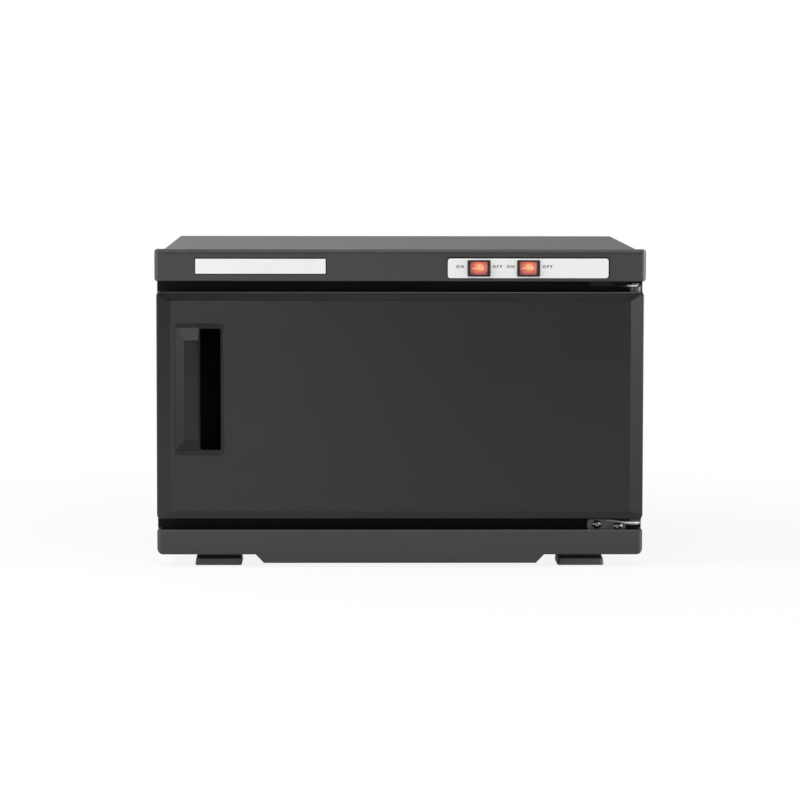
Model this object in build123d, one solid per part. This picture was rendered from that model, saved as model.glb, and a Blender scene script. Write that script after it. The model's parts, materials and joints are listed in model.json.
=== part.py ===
from build123d import *
import math
import os

# Hot towel cabinet: a painted steel housing with a heated inner liner, an insulated swinging door,
# a pull-out drip tray and two lit rocker switches in a fascia above the door.
# Millimetres. +Z is up, the door faces -Y, and the origin is the middle of the bounding box on the
# surface that the feet stand on.

# ---------------------------------------------------------------- driving dimensions: housing
body_width = 434.2           # folded steel wrap, outside
body_depth = 330.0           # door front plane to the rear edge of the wrap
sheet = 0.8                  # steel sheet
wrap_bend = 2.0              # outside radius of the wrap's folds
return_flange = 12.0         # folded edges of the wrap and the base
fit = 0.3                    # clearance between assembled pieces
seat = 0.2                   # clearance of a piece laid on its seat

foot_height = 12.2
strip_height = 22.8          # front of the drip tray
lower_gap = 9.8              # between the drip tray and the door
door_height = 209.4
upper_gap = 9.4              # between the door and the fascia
fascia_height = 29.4

fascia_overhang = 7.9        # each front moulding stands past the wrap by this much a side
frame_overhang = 6.6
door_overhang = 6.3
tray_overhang = 6.25

# ---------------------------------------------------------------- driving dimensions: front frame
frame_wall = 3.0
frame_rim = 6.0              # depth of the frame's rim behind its plate
frame_top_drop = 2.0         # frame's top edge below the wrap's top face
frame_hidden = 3.5           # lower rail carries on this far below the top of the tray front
cavity_jamb = 33.4           # door edge to the cavity's inside wall
cavity_sill = 13.2
cavity_header = 14.2
leg_width = 14.5             # frame legs beside the drip tray
leg_lift = 0.3
wire_window_margin = 24.0
wire_window_height = 16.0
edge_soft = 0.8              # small rounding of moulded edges

# ---------------------------------------------------------------- driving dimensions: fascia
fascia_wall = 2.5
fascia_lip = 8.0             # top lip that the wrap's top sheet butts against
fascia_corner = 3.0
fascia_edge = 1.6            # rounding of the front's top and bottom edges
fascia_end = 4.5             # rounding of the front's two ends
bead_drop = 2.3              # bead's middle under the top edge
bead_radius = 1.5
bead_rise = 0.5              # bead ahead of the front
groove_drop = 4.2            # groove under the bead
groove_radius = 0.45
plate_thickness = 0.8
plate_recess = 0.6
plate_gap = 0.25
switch_plate_inset = 34.5    # plate's right end to the fascia's
switch_plate_width = 147.2
switch_plate_height = 18.0
switch_plate_drop = 8.3      # plate's top edge below the fascia's top
switch_plate_corner = 2.5
name_plate_inset = 37.6      # plate's left end to the fascia's
name_plate_width = 119.0
name_plate_height = 13.6
name_plate_drop = 8.8
name_plate_corner = 0.6
fascia_boss_radius = 3.6
fascia_boss_inset = 13.0     # outer screw bosses from the fascia's ends

# ---------------------------------------------------------------- driving dimensions: switches
bezel_width = 21.0
bezel_height = 15.0
bezel_thickness = 1.5
bezel_corner = 1.0
switch_pitch = 45.35
first_switch = 28.55         # switch plate's left edge to the first switch's middle
switch_body_width = 19.2
switch_body_height = 13.2
switch_body_depth = 20.0
rocker_window_width = 16.6
rocker_window_height = 11.9
rocker_gap = 0.25
rocker_pivot_depth = 2.8     # pivot behind the bezel's face
rocker_tilt = 10.0           # degrees each way from level
rocker_back = 3.0            # rocker reaches this far behind its pivot
rocker_well = 8.0            # depth of the well behind the pivot
rocker_pin = 1.2             # radius
pin_play = 0.05              # radial clearance of every running pin
terminal_width = 4.8
terminal_length = 6.0
terminal_thickness = 0.8
switch_terminals = 3
bezel_soft = 0.45            # rounding of the bezel's front edge

# ---------------------------------------------------------------- driving dimensions: door
door_thickness = 21.5
door_gap = 3.5               # door's back to the frame
door_wall = 2.5
door_corner = 4.0
panel_rise = 2.2             # the front panel stands this far ahead of the door's edge
border_left = 12.9
border_right = 12.2
border_top = 8.2
border_bottom = 7.5
panel_corner = 2.5
door_edge_soft = 1.4
panel_edge_soft = 2.0
gasket_width = 7.0
gasket_inset_side = 19.4     # door edge to the gasket's outer edge
gasket_inset_end = 2.8
gasket_corner = 6.0
door_boss_radius = 3.6
door_screw_inset = 12.0
door_screw_height = 45.0     # from the door's top and bottom edges

# ---------------------------------------------------------------- driving dimensions: handle
handle_inset = 16.5          # door's left edge to the handle's
handle_width = 45.7
handle_drop = 29.3           # door's top edge to the handle's
handle_height = 120.6
handle_corner = 4.0
handle_flange = 1.2          # flange stands this far ahead of the panel
handle_flange_soft = 0.7
grip_corner = 0.4
handle_wall = 1.8
handle_rim = 1.2             # flange past the pocket's walls
finger_width = 18.9          # opening beside the grip
finger_height = 111.6
finger_right = 3.2           # opening to the handle's right edge
finger_corner = 1.5
finger_depth = 16.5          # pocket's floor behind the door's panel
grip_proud = 9.0             # grip's flat face ahead of the panel
grip_wall = 2.4
grip_flat_left = 9.4         # handle's left edge to the grip's flat face
grip_flat_width = 13.0
grip_left = 0.9              # handle's left edge to the foot of the bevel
grip_end_rise = 3.4          # handle's ends to the foot of the end bevels
grip_end_bevel = 11.3

# ---------------------------------------------------------------- driving dimensions: hinges, catch
pivot_inset = 7.8            # door's right edge to the pivot
pivot_depth = 9.5            # door's front plane to the pivot
hinge_pin = 2.5              # radius
pin_seat = 0.02              # radial gap of a pin fixed in its bracket
pin_reach = 8.5              # pin inside the door
pin_head = 3.6               # riveted head's radius
pin_head_height = 1.0
bush_wall = 2.4
bush_length = 9.5
bush_flange = 1.0
bush_flange_radius = 5.6
hinge_plate = 2.0
hinge_tip = 6.5              # radius of the bracket's nose
hinge_screw_first = 8.9      # bracket's left end to the first screw
hinge_screw_pitch = 19.5
hinge_screw_stagger = 1.9
hinge_width = 35.5
hinge_height = 10.0
hinge_right = 6.3            # bracket's right end to the pivot, along the door
hinge_sweep = 14.2           # bracket's left end to the start of the lug
hinge_corner = 3.0
lower_lug_gap = 2.9          # lug to the door's bottom edge
upper_lug_gap = 3.3          # lug to the fascia's bottom edge
upper_hinge_height = 12.0
boss_length = 11.5
boss_side = 16.0
catch_inset = 13.4           # door's left edge to the magnet's middle
catch_width = 10.0
catch_height = 30.0
catch_proud = 1.8
catch_wall = 2.0
catch_depth = 9.0
strike_width = 11.0
strike_height = 34.0
strike_thickness = 1.2
magnet_gap = 0.3             # magnet block inside its case

# ---------------------------------------------------------------- driving dimensions: liner and inside
liner_depth = 255.0          # frame's face to the liner's back wall
liner_sheet = 1.0
liner_flange = 8.0
opening_play = 1.0           # frame opening round the liner
shield_lift = 25.0           # bottom shield above the base
electrics_drop = 1.6         # electrics plate below the fascia's bottom
electrics_setback = 6.0      # electrics plate's front edge behind the frame
insulation_rear = 16.0
insulation_setback = 9.0     # boards start this far behind the frame's face
heater_thickness = 1.5
heater_margin_x = 26.0
heater_margin_y = 26.0
heater_corner = 8.0
thermostat_radius = 8.0
thermostat_height = 9.0
thermostat_x = 60.0
fuse_radius = 3.5
fuse_length = 30.0
fuse_x = -60.0
control_setback = 175.0      # thermostat and fuse behind the frame's face

rack_wire = 2.2              # radius of the frame wire
rack_bar = 1.3               # radius of the cross wires
rack_weld = 0.5              # cross wires sink this far into the frame wire
rack_margin = 9.0            # rack to the liner's walls
rack_height = 17.0           # frame wire above the liner's floor
rack_corner = 14.0
rack_pitch = 20.0
rack_foot_inset = 26.0
rack_foot_bend = 7.0

lamp_length = 288.0
lamp_radius = 8.0
lamp_cap_length = 9.0
lamp_cap_wall = 0.5
lamp_drop = 18.0             # ceiling to the lamp's axis
lamp_setback = 22.0          # back wall to the lamp's axis
lamp_pin = 1.1
lamp_pin_length = 6.5
lamp_pin_spacing = 5.0
holder_width = 16.0
holder_depth = 31.0
holder_height = 26.0
guard_depth = 42.0
guard_height = 40.0
guard_margin = 6.0           # guard past the lamp holders
guard_slot = 4.0
guard_slot_pitch = 9.0
guard_slot_length = 22.0

ballast_length = 120.0
ballast_width = 30.0
ballast_height = 24.0
ballast_x = -90.0
ballast_setback = 70.0
ballast_foot = 10.0
terminal_block_length = 58.0
terminal_block_width = 20.0
terminal_block_height = 14.0
terminal_block_x = 90.0
terminal_block_setback = 190.0
terminal_poles = 6
wire_radius = 1.8
wire_bend = 9.0
wire_lift = 9.0              # wires above the electrics plate

# ---------------------------------------------------------------- driving dimensions: rear, base, tray, feet
slot_round = 0.45            # corner radius of a vent slot, as a share of its width
vent_slot_width = 4.0
vent_slot_height = 40.0
vent_slots = 14
vent_pitch = 9.0
vent_drop = 62.0             # vents' top below the rear panel's top
vent_x = 105.0               # middle of each vent group
rear_reveal = 1.0            # rear panel inside the wrap's outline
inlet_inset = 67.1           # wrap's left side to the inlet's middle
inlet_height = 62.0
inlet_flange = 3.0
inlet_flange_width = 50.0
inlet_flange_height = 24.0
inlet_body_width = 27.4
inlet_body_height = 19.8
inlet_body_depth = 25.0
inlet_recess_width = 24.4
inlet_recess_height = 16.4
inlet_recess_depth = 16.0
inlet_recess_corner = 3.5
inlet_screw_pitch = 40.0
contact_length = 12.0
contact_width = 2.0
contact_height = 4.0
contact_spread = 7.0
contact_stagger = 2.5

tray_wall = 2.0
tray_front_wall = 3.0
tray_length = 150.0
tray_inset = 20.1            # wrap's outside to the tray's side walls
tray_clear = 3.8             # tray's floor above the base
tray_depth = 13.5
tray_rim = 6.0
tray_corner_low = 6.0
tray_corner_high = 1.5
tray_end = 4.5               # rounding of the front's two ends
tray_return = 22.0           # depth of the front's side returns
tray_edge_soft = 1.0
lip_drop = 7.9
lip_inset = 98.35            # strip's end to the lip's lower corner
lip_slope = 7.6
runner_play = 1.0
runner_length = 130.0

foot_width = 43.2
foot_depth = 43.2
foot_pad = 6.0               # height of the wider pad
foot_neck_inset = 1.2
foot_splay = 0.7
foot_inset_x = 28.0          # wrap's side to the foot's outer edge
foot_inset_front = 18.0
foot_inset_rear = 14.0
foot_edge_soft = 1.5
base_front = 4.0             # base plate's front edge behind the front plane

# ---------------------------------------------------------------- driving dimensions: screws
m4_radius = 2.0
m4_head = 4.0
m4_head_height = 2.4
m3_radius = 1.5
m3_head = 2.9
m3_head_height = 1.9
head_round = 0.45            # rounding of a head, as a share of its height
cross_length = 1.1           # cross recess, as shares of the head's radius and height
cross_width = 0.28
cross_depth = 0.9
hole_play = 0.15             # radial clearance of a screw hole
pilot_play = 0.05            # radial clearance of a screw in its boss
foot_screw_recess = 1.6      # head's underside is kept off the floor by this much
screw_past = 2.2             # screw end past the sheet that it holds
side_screw_height = 8.0      # above the base

# ---------------------------------------------------------------- derived places
body_half = body_width / 2
fascia_half = body_half + fascia_overhang
frame_half = body_half + frame_overhang
door_half = body_half + door_overhang
tray_half = body_half + tray_overhang

base_bottom = foot_height
base_top = base_bottom + sheet
strip_bottom = foot_height
strip_top = strip_bottom + strip_height
door_bottom = strip_top + lower_gap
door_top = door_bottom + door_height
fascia_bottom = door_top + upper_gap
total_height = fascia_bottom + fascia_height

rear_proud = sheet + inlet_flange + m3_head_height
front = grip_proud - (grip_proud + body_depth + rear_proud) / 2
door_back = front + door_thickness
frame_front = door_back + door_gap
frame_back = frame_front + frame_wall
rear = front + body_depth
rear_face = rear + sheet
base_rear = rear - sheet - seat

rail_bottom = strip_top - frame_hidden
frame_top = total_height - frame_top_drop
cavity_half = door_half - cavity_jamb
cavity_floor = door_bottom + cavity_sill
cavity_ceiling = door_top - cavity_header
cavity_back = frame_front + liner_depth
liner_half = cavity_half + liner_sheet
liner_bottom = cavity_floor - liner_sheet
liner_top = cavity_ceiling + liner_sheet
liner_rear = cavity_back + liner_sheet

shield_bottom = base_top + shield_lift
shield_top = shield_bottom + sheet
electrics_top = fascia_bottom - electrics_drop
electrics_bottom = electrics_top - sheet
heater_top = liner_bottom - seat
heater_bottom = heater_top - heater_thickness
board_front = frame_front + insulation_setback
board_rear = liner_rear + seat + insulation_rear
rear_wire_y = board_rear + wire_bend + wire_radius

pivot_x = door_half - pivot_inset
pivot_y = front + pivot_depth
lower_lug_top = door_bottom - lower_lug_gap
upper_lug_bottom = fascia_bottom - upper_lug_gap - hinge_plate
bush_radius = hinge_pin + pin_play + bush_wall
hinge_end = pivot_x - hinge_right
hinge_start = hinge_end - hinge_width

handle_left = -door_half + handle_inset
handle_right = handle_left + handle_width
handle_top = door_top - handle_drop
handle_bottom = handle_top - handle_height
handle_middle = (handle_top + handle_bottom) / 2
finger_end = handle_right - finger_right
finger_start = finger_end - finger_width
pocket_left = handle_left + handle_rim + handle_wall
pocket_low = handle_middle - finger_height / 2
pocket_high = handle_middle + finger_height / 2

switch_plate_left = fascia_half - switch_plate_inset - switch_plate_width
name_plate_left = -fascia_half + name_plate_inset
switch_plate_top = total_height - switch_plate_drop
switch_plate_middle = switch_plate_top - switch_plate_height / 2
plate_front = front + plate_recess - plate_thickness
bezel_front = plate_front - bezel_thickness
switch_places = [switch_plate_left + first_switch + switch_pitch * i for i in range(2)]
switch_mouth = bezel_front + rocker_pivot_depth

tray_body_half = body_half - tray_inset
tray_floor_low = base_top + tray_clear
tray_rim_top = tray_floor_low + tray_depth
tray_back = front + tray_length
lip_half_width = tray_half - lip_inset
inlet_x = -body_half + inlet_inset

foot_middle_x = body_half - foot_inset_x - foot_width / 2
foot_middle_front = front + foot_inset_front + foot_depth / 2
foot_middle_rear = rear - foot_inset_rear - foot_depth / 2
foot_places = {
    "foot_front_left": (-foot_middle_x, foot_middle_front),
    "foot_front_right": (foot_middle_x, foot_middle_front),
    "foot_rear_left": (-foot_middle_x, foot_middle_rear),
    "foot_rear_right": (foot_middle_x, foot_middle_rear),
}

lamp_z = cavity_ceiling - lamp_drop
lamp_y = cavity_back - lamp_setback
lamp_half = lamp_length / 2

catch_x = -door_half + catch_inset
catch_z = (door_bottom + door_top) / 2
fascia_boss_z = (fascia_bottom + total_height) / 2
fascia_boss_places = [-fascia_half + fascia_boss_inset, 0.0, fascia_half - fascia_boss_inset]
door_screw_x = door_half - door_screw_inset
door_screw_places = [
    (side * door_screw_x, z)
    for side in (-1, 1)
    for z in (door_bottom + door_screw_height, door_top - door_screw_height)
]
panel_back = front + panel_rise + door_wall
lining_front = door_back - sheet

# ---------------------------------------------------------------- helpers


def both(half):
    """Span from -half to half."""
    return (-half, half)


def around(middle, width):
    """Span of a width about its middle."""
    return (middle - width / 2, middle + width / 2)


def block(x, y, z):
    """Box that spans the given pair of values on each axis."""
    middle = Pos((x[0] + x[1]) / 2, (y[0] + y[1]) / 2, (z[0] + z[1]) / 2)
    return middle * Box(x[1] - x[0], y[1] - y[0], z[1] - z[0])


def front_plane(y):
    """Sketch plane that faces the user: its own x and y are the cabinet's X and Z."""
    return Plane(origin=(0, y, 0), x_dir=(1, 0, 0), z_dir=(0, -1, 0))


def pane(x, z, radius, y):
    """Rounded rectangle that faces the user, at depth y."""
    outline = RectangleRounded(x[1] - x[0], z[1] - z[0], radius)
    return front_plane(y) * (Pos((x[0] + x[1]) / 2, (z[0] + z[1]) / 2) * outline)


def slab(x, y, z, radius):
    """Plate that faces the user, with rounded corners."""
    return extrude(pane(x, z, radius, y[0]), amount=y[1] - y[0], dir=(0, 1, 0))


def mat(x, y, z, radius):
    """Flat-lying plate with rounded corners."""
    middle = Pos((x[0] + x[1]) / 2, (y[0] + y[1]) / 2, z[0])
    outline = middle * RectangleRounded(x[1] - x[0], y[1] - y[0], radius)
    return extrude(outline, amount=z[1] - z[0], dir=(0, 0, 1))


def upright(x, y, z, radius):
    """Vertical cylinder over the span z."""
    return Pos(x, y, (z[0] + z[1]) / 2) * Cylinder(radius, z[1] - z[0])


def through(x, y, z, radius):
    """Cylinder along Y over the span y."""
    return Pos(x, (y[0] + y[1]) / 2, z) * Rot(90, 0, 0) * Cylinder(radius, y[1] - y[0])


def across(x, y, z, radius):
    """Cylinder along X over the span x."""
    return Pos((x[0] + x[1]) / 2, y, z) * Rot(0, 90, 0) * Cylinder(radius, x[1] - x[0])


def screw(shank, head, head_height, length):
    """Pan-head screw with a cross recess, head upwards and its seat at the origin."""
    top = Pos(0, 0, head_height / 2) * Cylinder(head, head_height)
    top = fillet(top.edges().sort_by(Axis.Z)[-1], head_height * head_round)
    for turn in (0, 90):
        slot = Box(head * cross_length, head * cross_width, head_height * cross_depth)
        top -= Pos(0, 0, head_height) * Rot(0, 0, turn) * slot
    return top + Pos(0, 0, -length / 2) * Cylinder(shank, length)


def m4_screw(length):
    return screw(m4_radius, m4_head, m4_head_height, length)


def m3_screw(length):
    return screw(m3_radius, m3_head, m3_head_height, length)


face_front = Rot(90, 0, 0)     # turns a screw's head towards -Y
face_rear = Rot(-90, 0, 0)     # towards +Y
face_down = Rot(180, 0, 0)


def tube(points, radius, bend):
    """Round wire that follows straight runs joined by arcs."""
    path = FilletPolyline(*points, radius=bend)
    return sweep(Plane(origin=path @ 0, z_dir=path % 0) * Circle(radius), path=path)


def round_ended(half, depth, height, end, edge, low_corner, high_corner):
    """Bar across the cabinet with rounded front ends, front edges and front-view corners."""
    bar = block(both(half), depth, height)
    ends = fillet(bar.edges().filter_by(Axis.Z).group_by(Axis.Y)[0], end)
    edges = fillet(bar.edges().filter_by(Axis.X).group_by(Axis.Y)[0], edge)
    corners = fillet(bar.edges().filter_by(Axis.Y).group_by(Axis.Z)[0], low_corner)
    corners = fillet(corners.edges().filter_by(Axis.Y).group_by(Axis.Z)[-1], high_corner)
    return ends & edges & corners


def group(pieces):
    """Separate solids kept in one sub-part."""
    return Compound(children=[solid for piece in pieces for solid in piece.solids()])


# ---------------------------------------------------------------- housing


def make_outer_wrap():
    """Top and sides in one folded sheet, with returned rear edges."""
    outside = block(both(body_half), (front + fascia_lip + seat, rear), (base_bottom, total_height))
    outside = fillet(outside.edges().filter_by(Axis.Y).group_by(Axis.Z)[-1], wrap_bend)
    inside = block(
        both(body_half - sheet),
        (front, rear - sheet),
        (base_bottom - sheet, total_height - sheet),
    )
    inside = fillet(inside.edges().filter_by(Axis.Y).group_by(Axis.Z)[-1], wrap_bend - sheet)
    window = block(
        both(body_half - sheet - return_flange),
        (front, rear + sheet),
        (base_bottom - sheet, total_height - sheet - return_flange),
    )
    nose = block(both(body_half + sheet), (front, frame_back + fit), (0, total_height - sheet))
    wrap = outside - inside - window - nose
    for side in (-1, 1):
        for y in side_screw_places():
            span = (body_half - 2 * sheet, body_half + sheet)
            hole = across(span, y, side_screw_z(), m4_radius + hole_play)
            wrap -= hole if side > 0 else mirror(hole, about=Plane.YZ)
    for x, z in rear_screw_places():
        wrap -= through(x, (rear - 2 * sheet, rear + sheet), z, m4_radius + hole_play)
    return wrap


def side_screw_z():
    return base_top + side_screw_height


def side_screw_places():
    """Front and rear screws that hold the wrap to the base."""
    return [frame_back + frame_rim + 2 * return_flange, rear - 3 * return_flange]


def rear_screw_places():
    """Screws round the rear panel, in the middle of the wrap's returned edges."""
    x = body_half - sheet - return_flange / 2
    top = total_height - sheet - return_flange / 2
    low = base_top + return_flange / 2
    return [(-x, top), (0, top), (x, top), (-x, (top + low) / 2), (x, (top + low) / 2), (0, low)]


def make_rear_panel():
    """Flat rear cover with two groups of vent slots and the inlet's cut-out."""
    panel = slab(
        both(body_half - rear_reveal),
        (rear, rear_face),
        (base_bottom + rear_reveal, total_height - rear_reveal),
        wrap_bend,
    )
    vent_top = total_height - vent_drop
    for side in (-1, 1):
        for i in range(vent_slots):
            x = side * vent_x + (i - (vent_slots - 1) / 2) * vent_pitch
            panel -= slab(
                around(x, vent_slot_width),
                (rear - sheet, rear_face + sheet),
                (vent_top - vent_slot_height, vent_top),
                vent_slot_width * slot_round,
            )
    panel -= block(
        around(inlet_x, inlet_body_width + 2 * fit),
        (rear - sheet, rear_face + sheet),
        around(inlet_height, inlet_body_height + 2 * fit),
    )
    for side in (-1, 1):
        x = inlet_x + side * inlet_screw_pitch / 2
        panel -= through(x, (rear - sheet, rear_face + sheet), inlet_height, m3_radius + hole_play)
    for x, z in rear_screw_places():
        panel -= through(x, (rear - sheet, rear_face + sheet), z, m4_radius + hole_play)
    return panel


def make_base_plate():
    """Floor pan with folded-up side and rear edges."""
    half = body_half - sheet - fit / 2
    plate = block(both(half), (front + base_front, base_rear), (base_bottom, base_top))
    edge_front = frame_back + frame_rim + fit
    for side in (-1, 1):
        x = sorted((side * half, side * (half - sheet)))
        plate += block(x, (edge_front, base_rear), (base_bottom, base_top + return_flange))
    plate += block(both(half), (base_rear - sheet, base_rear), (base_bottom, base_top + return_flange))
    for side in (-1, 1):
        for y in side_screw_places():
            hole = across((half - 2 * sheet, half + sheet), y, side_screw_z(), m4_radius + pilot_play)
            plate -= hole if side > 0 else mirror(hole, about=Plane.YZ)
    plate -= through(0, (base_rear - 2 * sheet, rear), base_top + return_flange / 2, m4_radius + pilot_play)
    for x, y in foot_places.values():
        plate -= upright(x, y, (base_bottom - sheet, base_top + sheet), m4_radius + pilot_play)
    return plate


def make_front_frame():
    """Moulded frame that carries the liner, the hinges, the magnet and the fascia."""
    frame = block(both(frame_half), (frame_front, frame_back), (rail_bottom, frame_top))
    leg_low = base_top + leg_lift
    for side in (-1, 1):
        leg = sorted((side * frame_half, side * (frame_half - leg_width)))
        frame += block(leg, (frame_front, frame_back), (leg_low, rail_bottom))
        rim = sorted((side * frame_half, side * (body_half + fit)))
        frame += block(rim, (frame_front, frame_back + frame_rim), (leg_low, frame_top))
    outer_edges = frame.edges().filter_by(Axis.Z).group_by(Axis.Y)[0]
    frame = fillet(outer_edges.filter_by(lambda e: abs(e.center().X) > frame_half - edge_soft), edge_soft)
    frame -= block(
        both(liner_half + opening_play),
        (frame_front - sheet, frame_back + sheet),
        (liner_bottom - opening_play, liner_top + opening_play),
    )
    frame -= block(
        (switch_plate_left - wire_window_margin, switch_plate_left + switch_plate_width),
        (frame_front - sheet, frame_back + sheet),
        around(fascia_boss_z, wire_window_height),
    )
    frame -= block(
        around(catch_x, catch_width + 2 * seat),
        (frame_front - sheet, frame_back + sheet),
        around(catch_z, catch_height + 2 * seat),
    )
    for x in fascia_boss_places:
        frame -= through(x, (frame_front - sheet, frame_back + sheet), fascia_boss_z, m3_radius + hole_play)
    for x, z in hinge_screw_places():
        frame -= through(x, (frame_front - sheet, frame_back + sheet), z, m4_radius + pilot_play)
    return frame


# ---------------------------------------------------------------- fascia and switches


def make_control_fascia():
    """Hollow moulding above the door, open at the back, with recesses for the two plates."""
    depth = (front, frame_front)
    height = (fascia_bottom, total_height)
    fascia = round_ended(fascia_half, depth, height, fascia_end, fascia_edge, fascia_corner, fascia_corner)
    ledge = total_height - sheet - seat
    fascia -= block(
        both(fascia_half + sheet),
        (front + fascia_lip, frame_back),
        (ledge, total_height + sheet),
    )
    fascia -= block(
        both(fascia_half - fascia_wall),
        (front + fascia_wall, frame_back),
        (fascia_bottom + fascia_wall, ledge - fascia_wall),
    )
    bead_y = front - bead_rise + bead_radius
    fascia += across(both(fascia_half - fascia_end), bead_y, total_height - bead_drop, bead_radius)
    fascia -= across(both(fascia_half + sheet), front, total_height - groove_drop, groove_radius)
    for x in fascia_boss_places:
        boss = through(x, (front + fascia_wall - fit, frame_front), fascia_boss_z, fascia_boss_radius)
        fascia += boss
        fascia -= through(x, (front + 2 * fascia_wall, frame_back), fascia_boss_z, m3_radius + pilot_play)
    for x, z, corner in (switch_plate_outline(plate_gap), name_plate_outline(plate_gap)):
        fascia -= slab(x, (front - sheet, front + plate_recess), z, corner)
    for x in switch_places:
        fascia -= block(
            around(x, switch_body_width + 2 * seat),
            (front - sheet, front + 2 * fascia_wall),
            around(switch_plate_middle, switch_body_height + 2 * seat),
        )
    fascia -= block(
        (hinge_start - fit, pivot_x + hinge_tip + fit),
        (frame_front - hinge_plate - m4_head_height - fit, frame_back),
        (fascia_bottom - sheet, fascia_bottom + 2 * fascia_wall),
    )
    return fascia


def switch_plate_outline(margin):
    """X span, Z span and corner radius of the switch plate, with a margin round it."""
    x = (switch_plate_left - margin, switch_plate_left + switch_plate_width + margin)
    z = (switch_plate_top - switch_plate_height - margin, switch_plate_top + margin)
    return x, z, switch_plate_corner + margin


def name_plate_outline(margin):
    x = (name_plate_left - margin, name_plate_left + name_plate_width + margin)
    top = total_height - name_plate_drop
    return x, (top - name_plate_height - margin, top + margin), name_plate_corner + margin


def make_switch_plate():
    x, z, corner = switch_plate_outline(0)
    plate = slab(x, (plate_front, plate_front + plate_thickness), z, corner)
    for place in switch_places:
        plate -= block(
            around(place, switch_body_width + 2 * seat),
            (plate_front - sheet, front + fascia_wall),
            around(switch_plate_middle, switch_body_height + 2 * seat),
        )
    return plate


def make_name_plate():
    x, z, corner = name_plate_outline(0)
    return slab(x, (plate_front, plate_front + plate_thickness), z, corner)


def make_switch_body(x):
    """Snap-in switch case with its bezel, rocker well and rear terminals."""
    bezel = slab(
        around(x, bezel_width),
        (bezel_front, plate_front),
        around(switch_plate_middle, bezel_height),
        bezel_corner,
    )
    bezel = fillet(bezel.faces().sort_by(Axis.Y)[0].edges(), bezel_soft)
    rear_y = plate_front + switch_body_depth
    case = block(
        around(x, switch_body_width),
        (plate_front, rear_y),
        around(switch_plate_middle, switch_body_height),
    )
    body = bezel + case
    body -= block(
        around(x, rocker_window_width),
        (bezel_front - sheet, bezel_front + rocker_well),
        around(switch_plate_middle, rocker_window_height),
    )
    pin_reach_z = switch_body_height + 2 * sheet
    body -= upright(x, switch_mouth, around(switch_plate_middle, pin_reach_z), rocker_pin + pin_play)
    for i in range(switch_terminals):
        middle = x + (i - (switch_terminals - 1) / 2) * terminal_length
        body += block(
            around(middle, terminal_thickness),
            (rear_y - sheet, rear_y + terminal_length),
            around(switch_plate_middle, terminal_width),
        )
    return body


def make_rocker(x):
    """Rocker with a shallow V face, tilted so that its left half is pressed in."""
    radius = rocker_window_width / 2 - rocker_gap
    rise = radius * math.tan(math.radians(rocker_tilt))
    outline = Polyline(
        (-radius, -rocker_pivot_depth - rise),
        (0, -rocker_pivot_depth),
        (radius, -rocker_pivot_depth - rise),
        (radius, rocker_back),
        (-radius, rocker_back),
        close=True,
    )
    height = rocker_window_height - 2 * rocker_gap
    rocker = extrude(make_face(outline), amount=height / 2, both=True)
    rocker &= Cylinder(radius, height)
    rocker += Cylinder(rocker_pin, switch_body_height - 2 * seat)
    return Pos(x, switch_mouth, switch_plate_middle) * Rot(0, 0, -rocker_tilt) * rocker


# ---------------------------------------------------------------- door


def door_span(inset):
    """X and Z spans of the door's outline, drawn in by an inset."""
    return both(door_half - inset), (door_bottom + inset, door_top - inset)


def make_door_skin():
    """Moulded front with sloping borders, hollow behind, with bosses for the bushes and screws."""
    x, z = door_span(0)
    edge_y = front + panel_rise
    rim = pane(x, z, door_corner, edge_y)
    panel = pane(
        (x[0] + border_left, x[1] - border_right),
        (z[0] + border_bottom, z[1] - border_top),
        panel_corner,
        front,
    )
    skin = loft([rim.face(), panel.face()]) + extrude(rim, amount=door_back - edge_y, dir=(0, 1, 0))
    skin = fillet(skin.edges().filter_by_position(Axis.Y, edge_y - 0.01, edge_y + 0.01), door_edge_soft)
    skin = fillet(skin.faces().sort_by(Axis.Y)[0].edges(), panel_edge_soft)
    inner_x, inner_z = door_span(door_wall)
    skin -= block(inner_x, (panel_back, door_back + sheet), inner_z)
    boss_back = lining_front - seat
    for low in (door_bottom, door_top - boss_length):
        skin += block((door_half - boss_side, door_half - door_wall / 2), (front + door_wall, boss_back),
                      (low, low + boss_length))
    for x_place, z_place in door_screw_places:
        skin += through(x_place, (front + door_wall, boss_back), z_place, door_boss_radius)
        skin -= through(x_place, (panel_back, door_back), z_place, m3_radius + pilot_play)
    lower_bore = (door_bottom - sheet, door_bottom + bush_length + fit)
    upper_bore = (door_top - bush_length - fit, door_top + sheet)
    for span in (lower_bore, upper_bore):
        skin -= upright(pivot_x, pivot_y, span, bush_radius + pin_play)
    skin -= handle_socket(fit)
    return skin


def handle_socket(margin):
    """Space that the handle's pocket takes up inside the door."""
    return slab(
        (handle_left + handle_rim - margin, handle_right - handle_rim + margin),
        (front - sheet, front + finger_depth + handle_wall + margin),
        (handle_bottom + handle_rim - margin, handle_top - handle_rim + margin),
        handle_corner - handle_rim + margin,
    )


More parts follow.
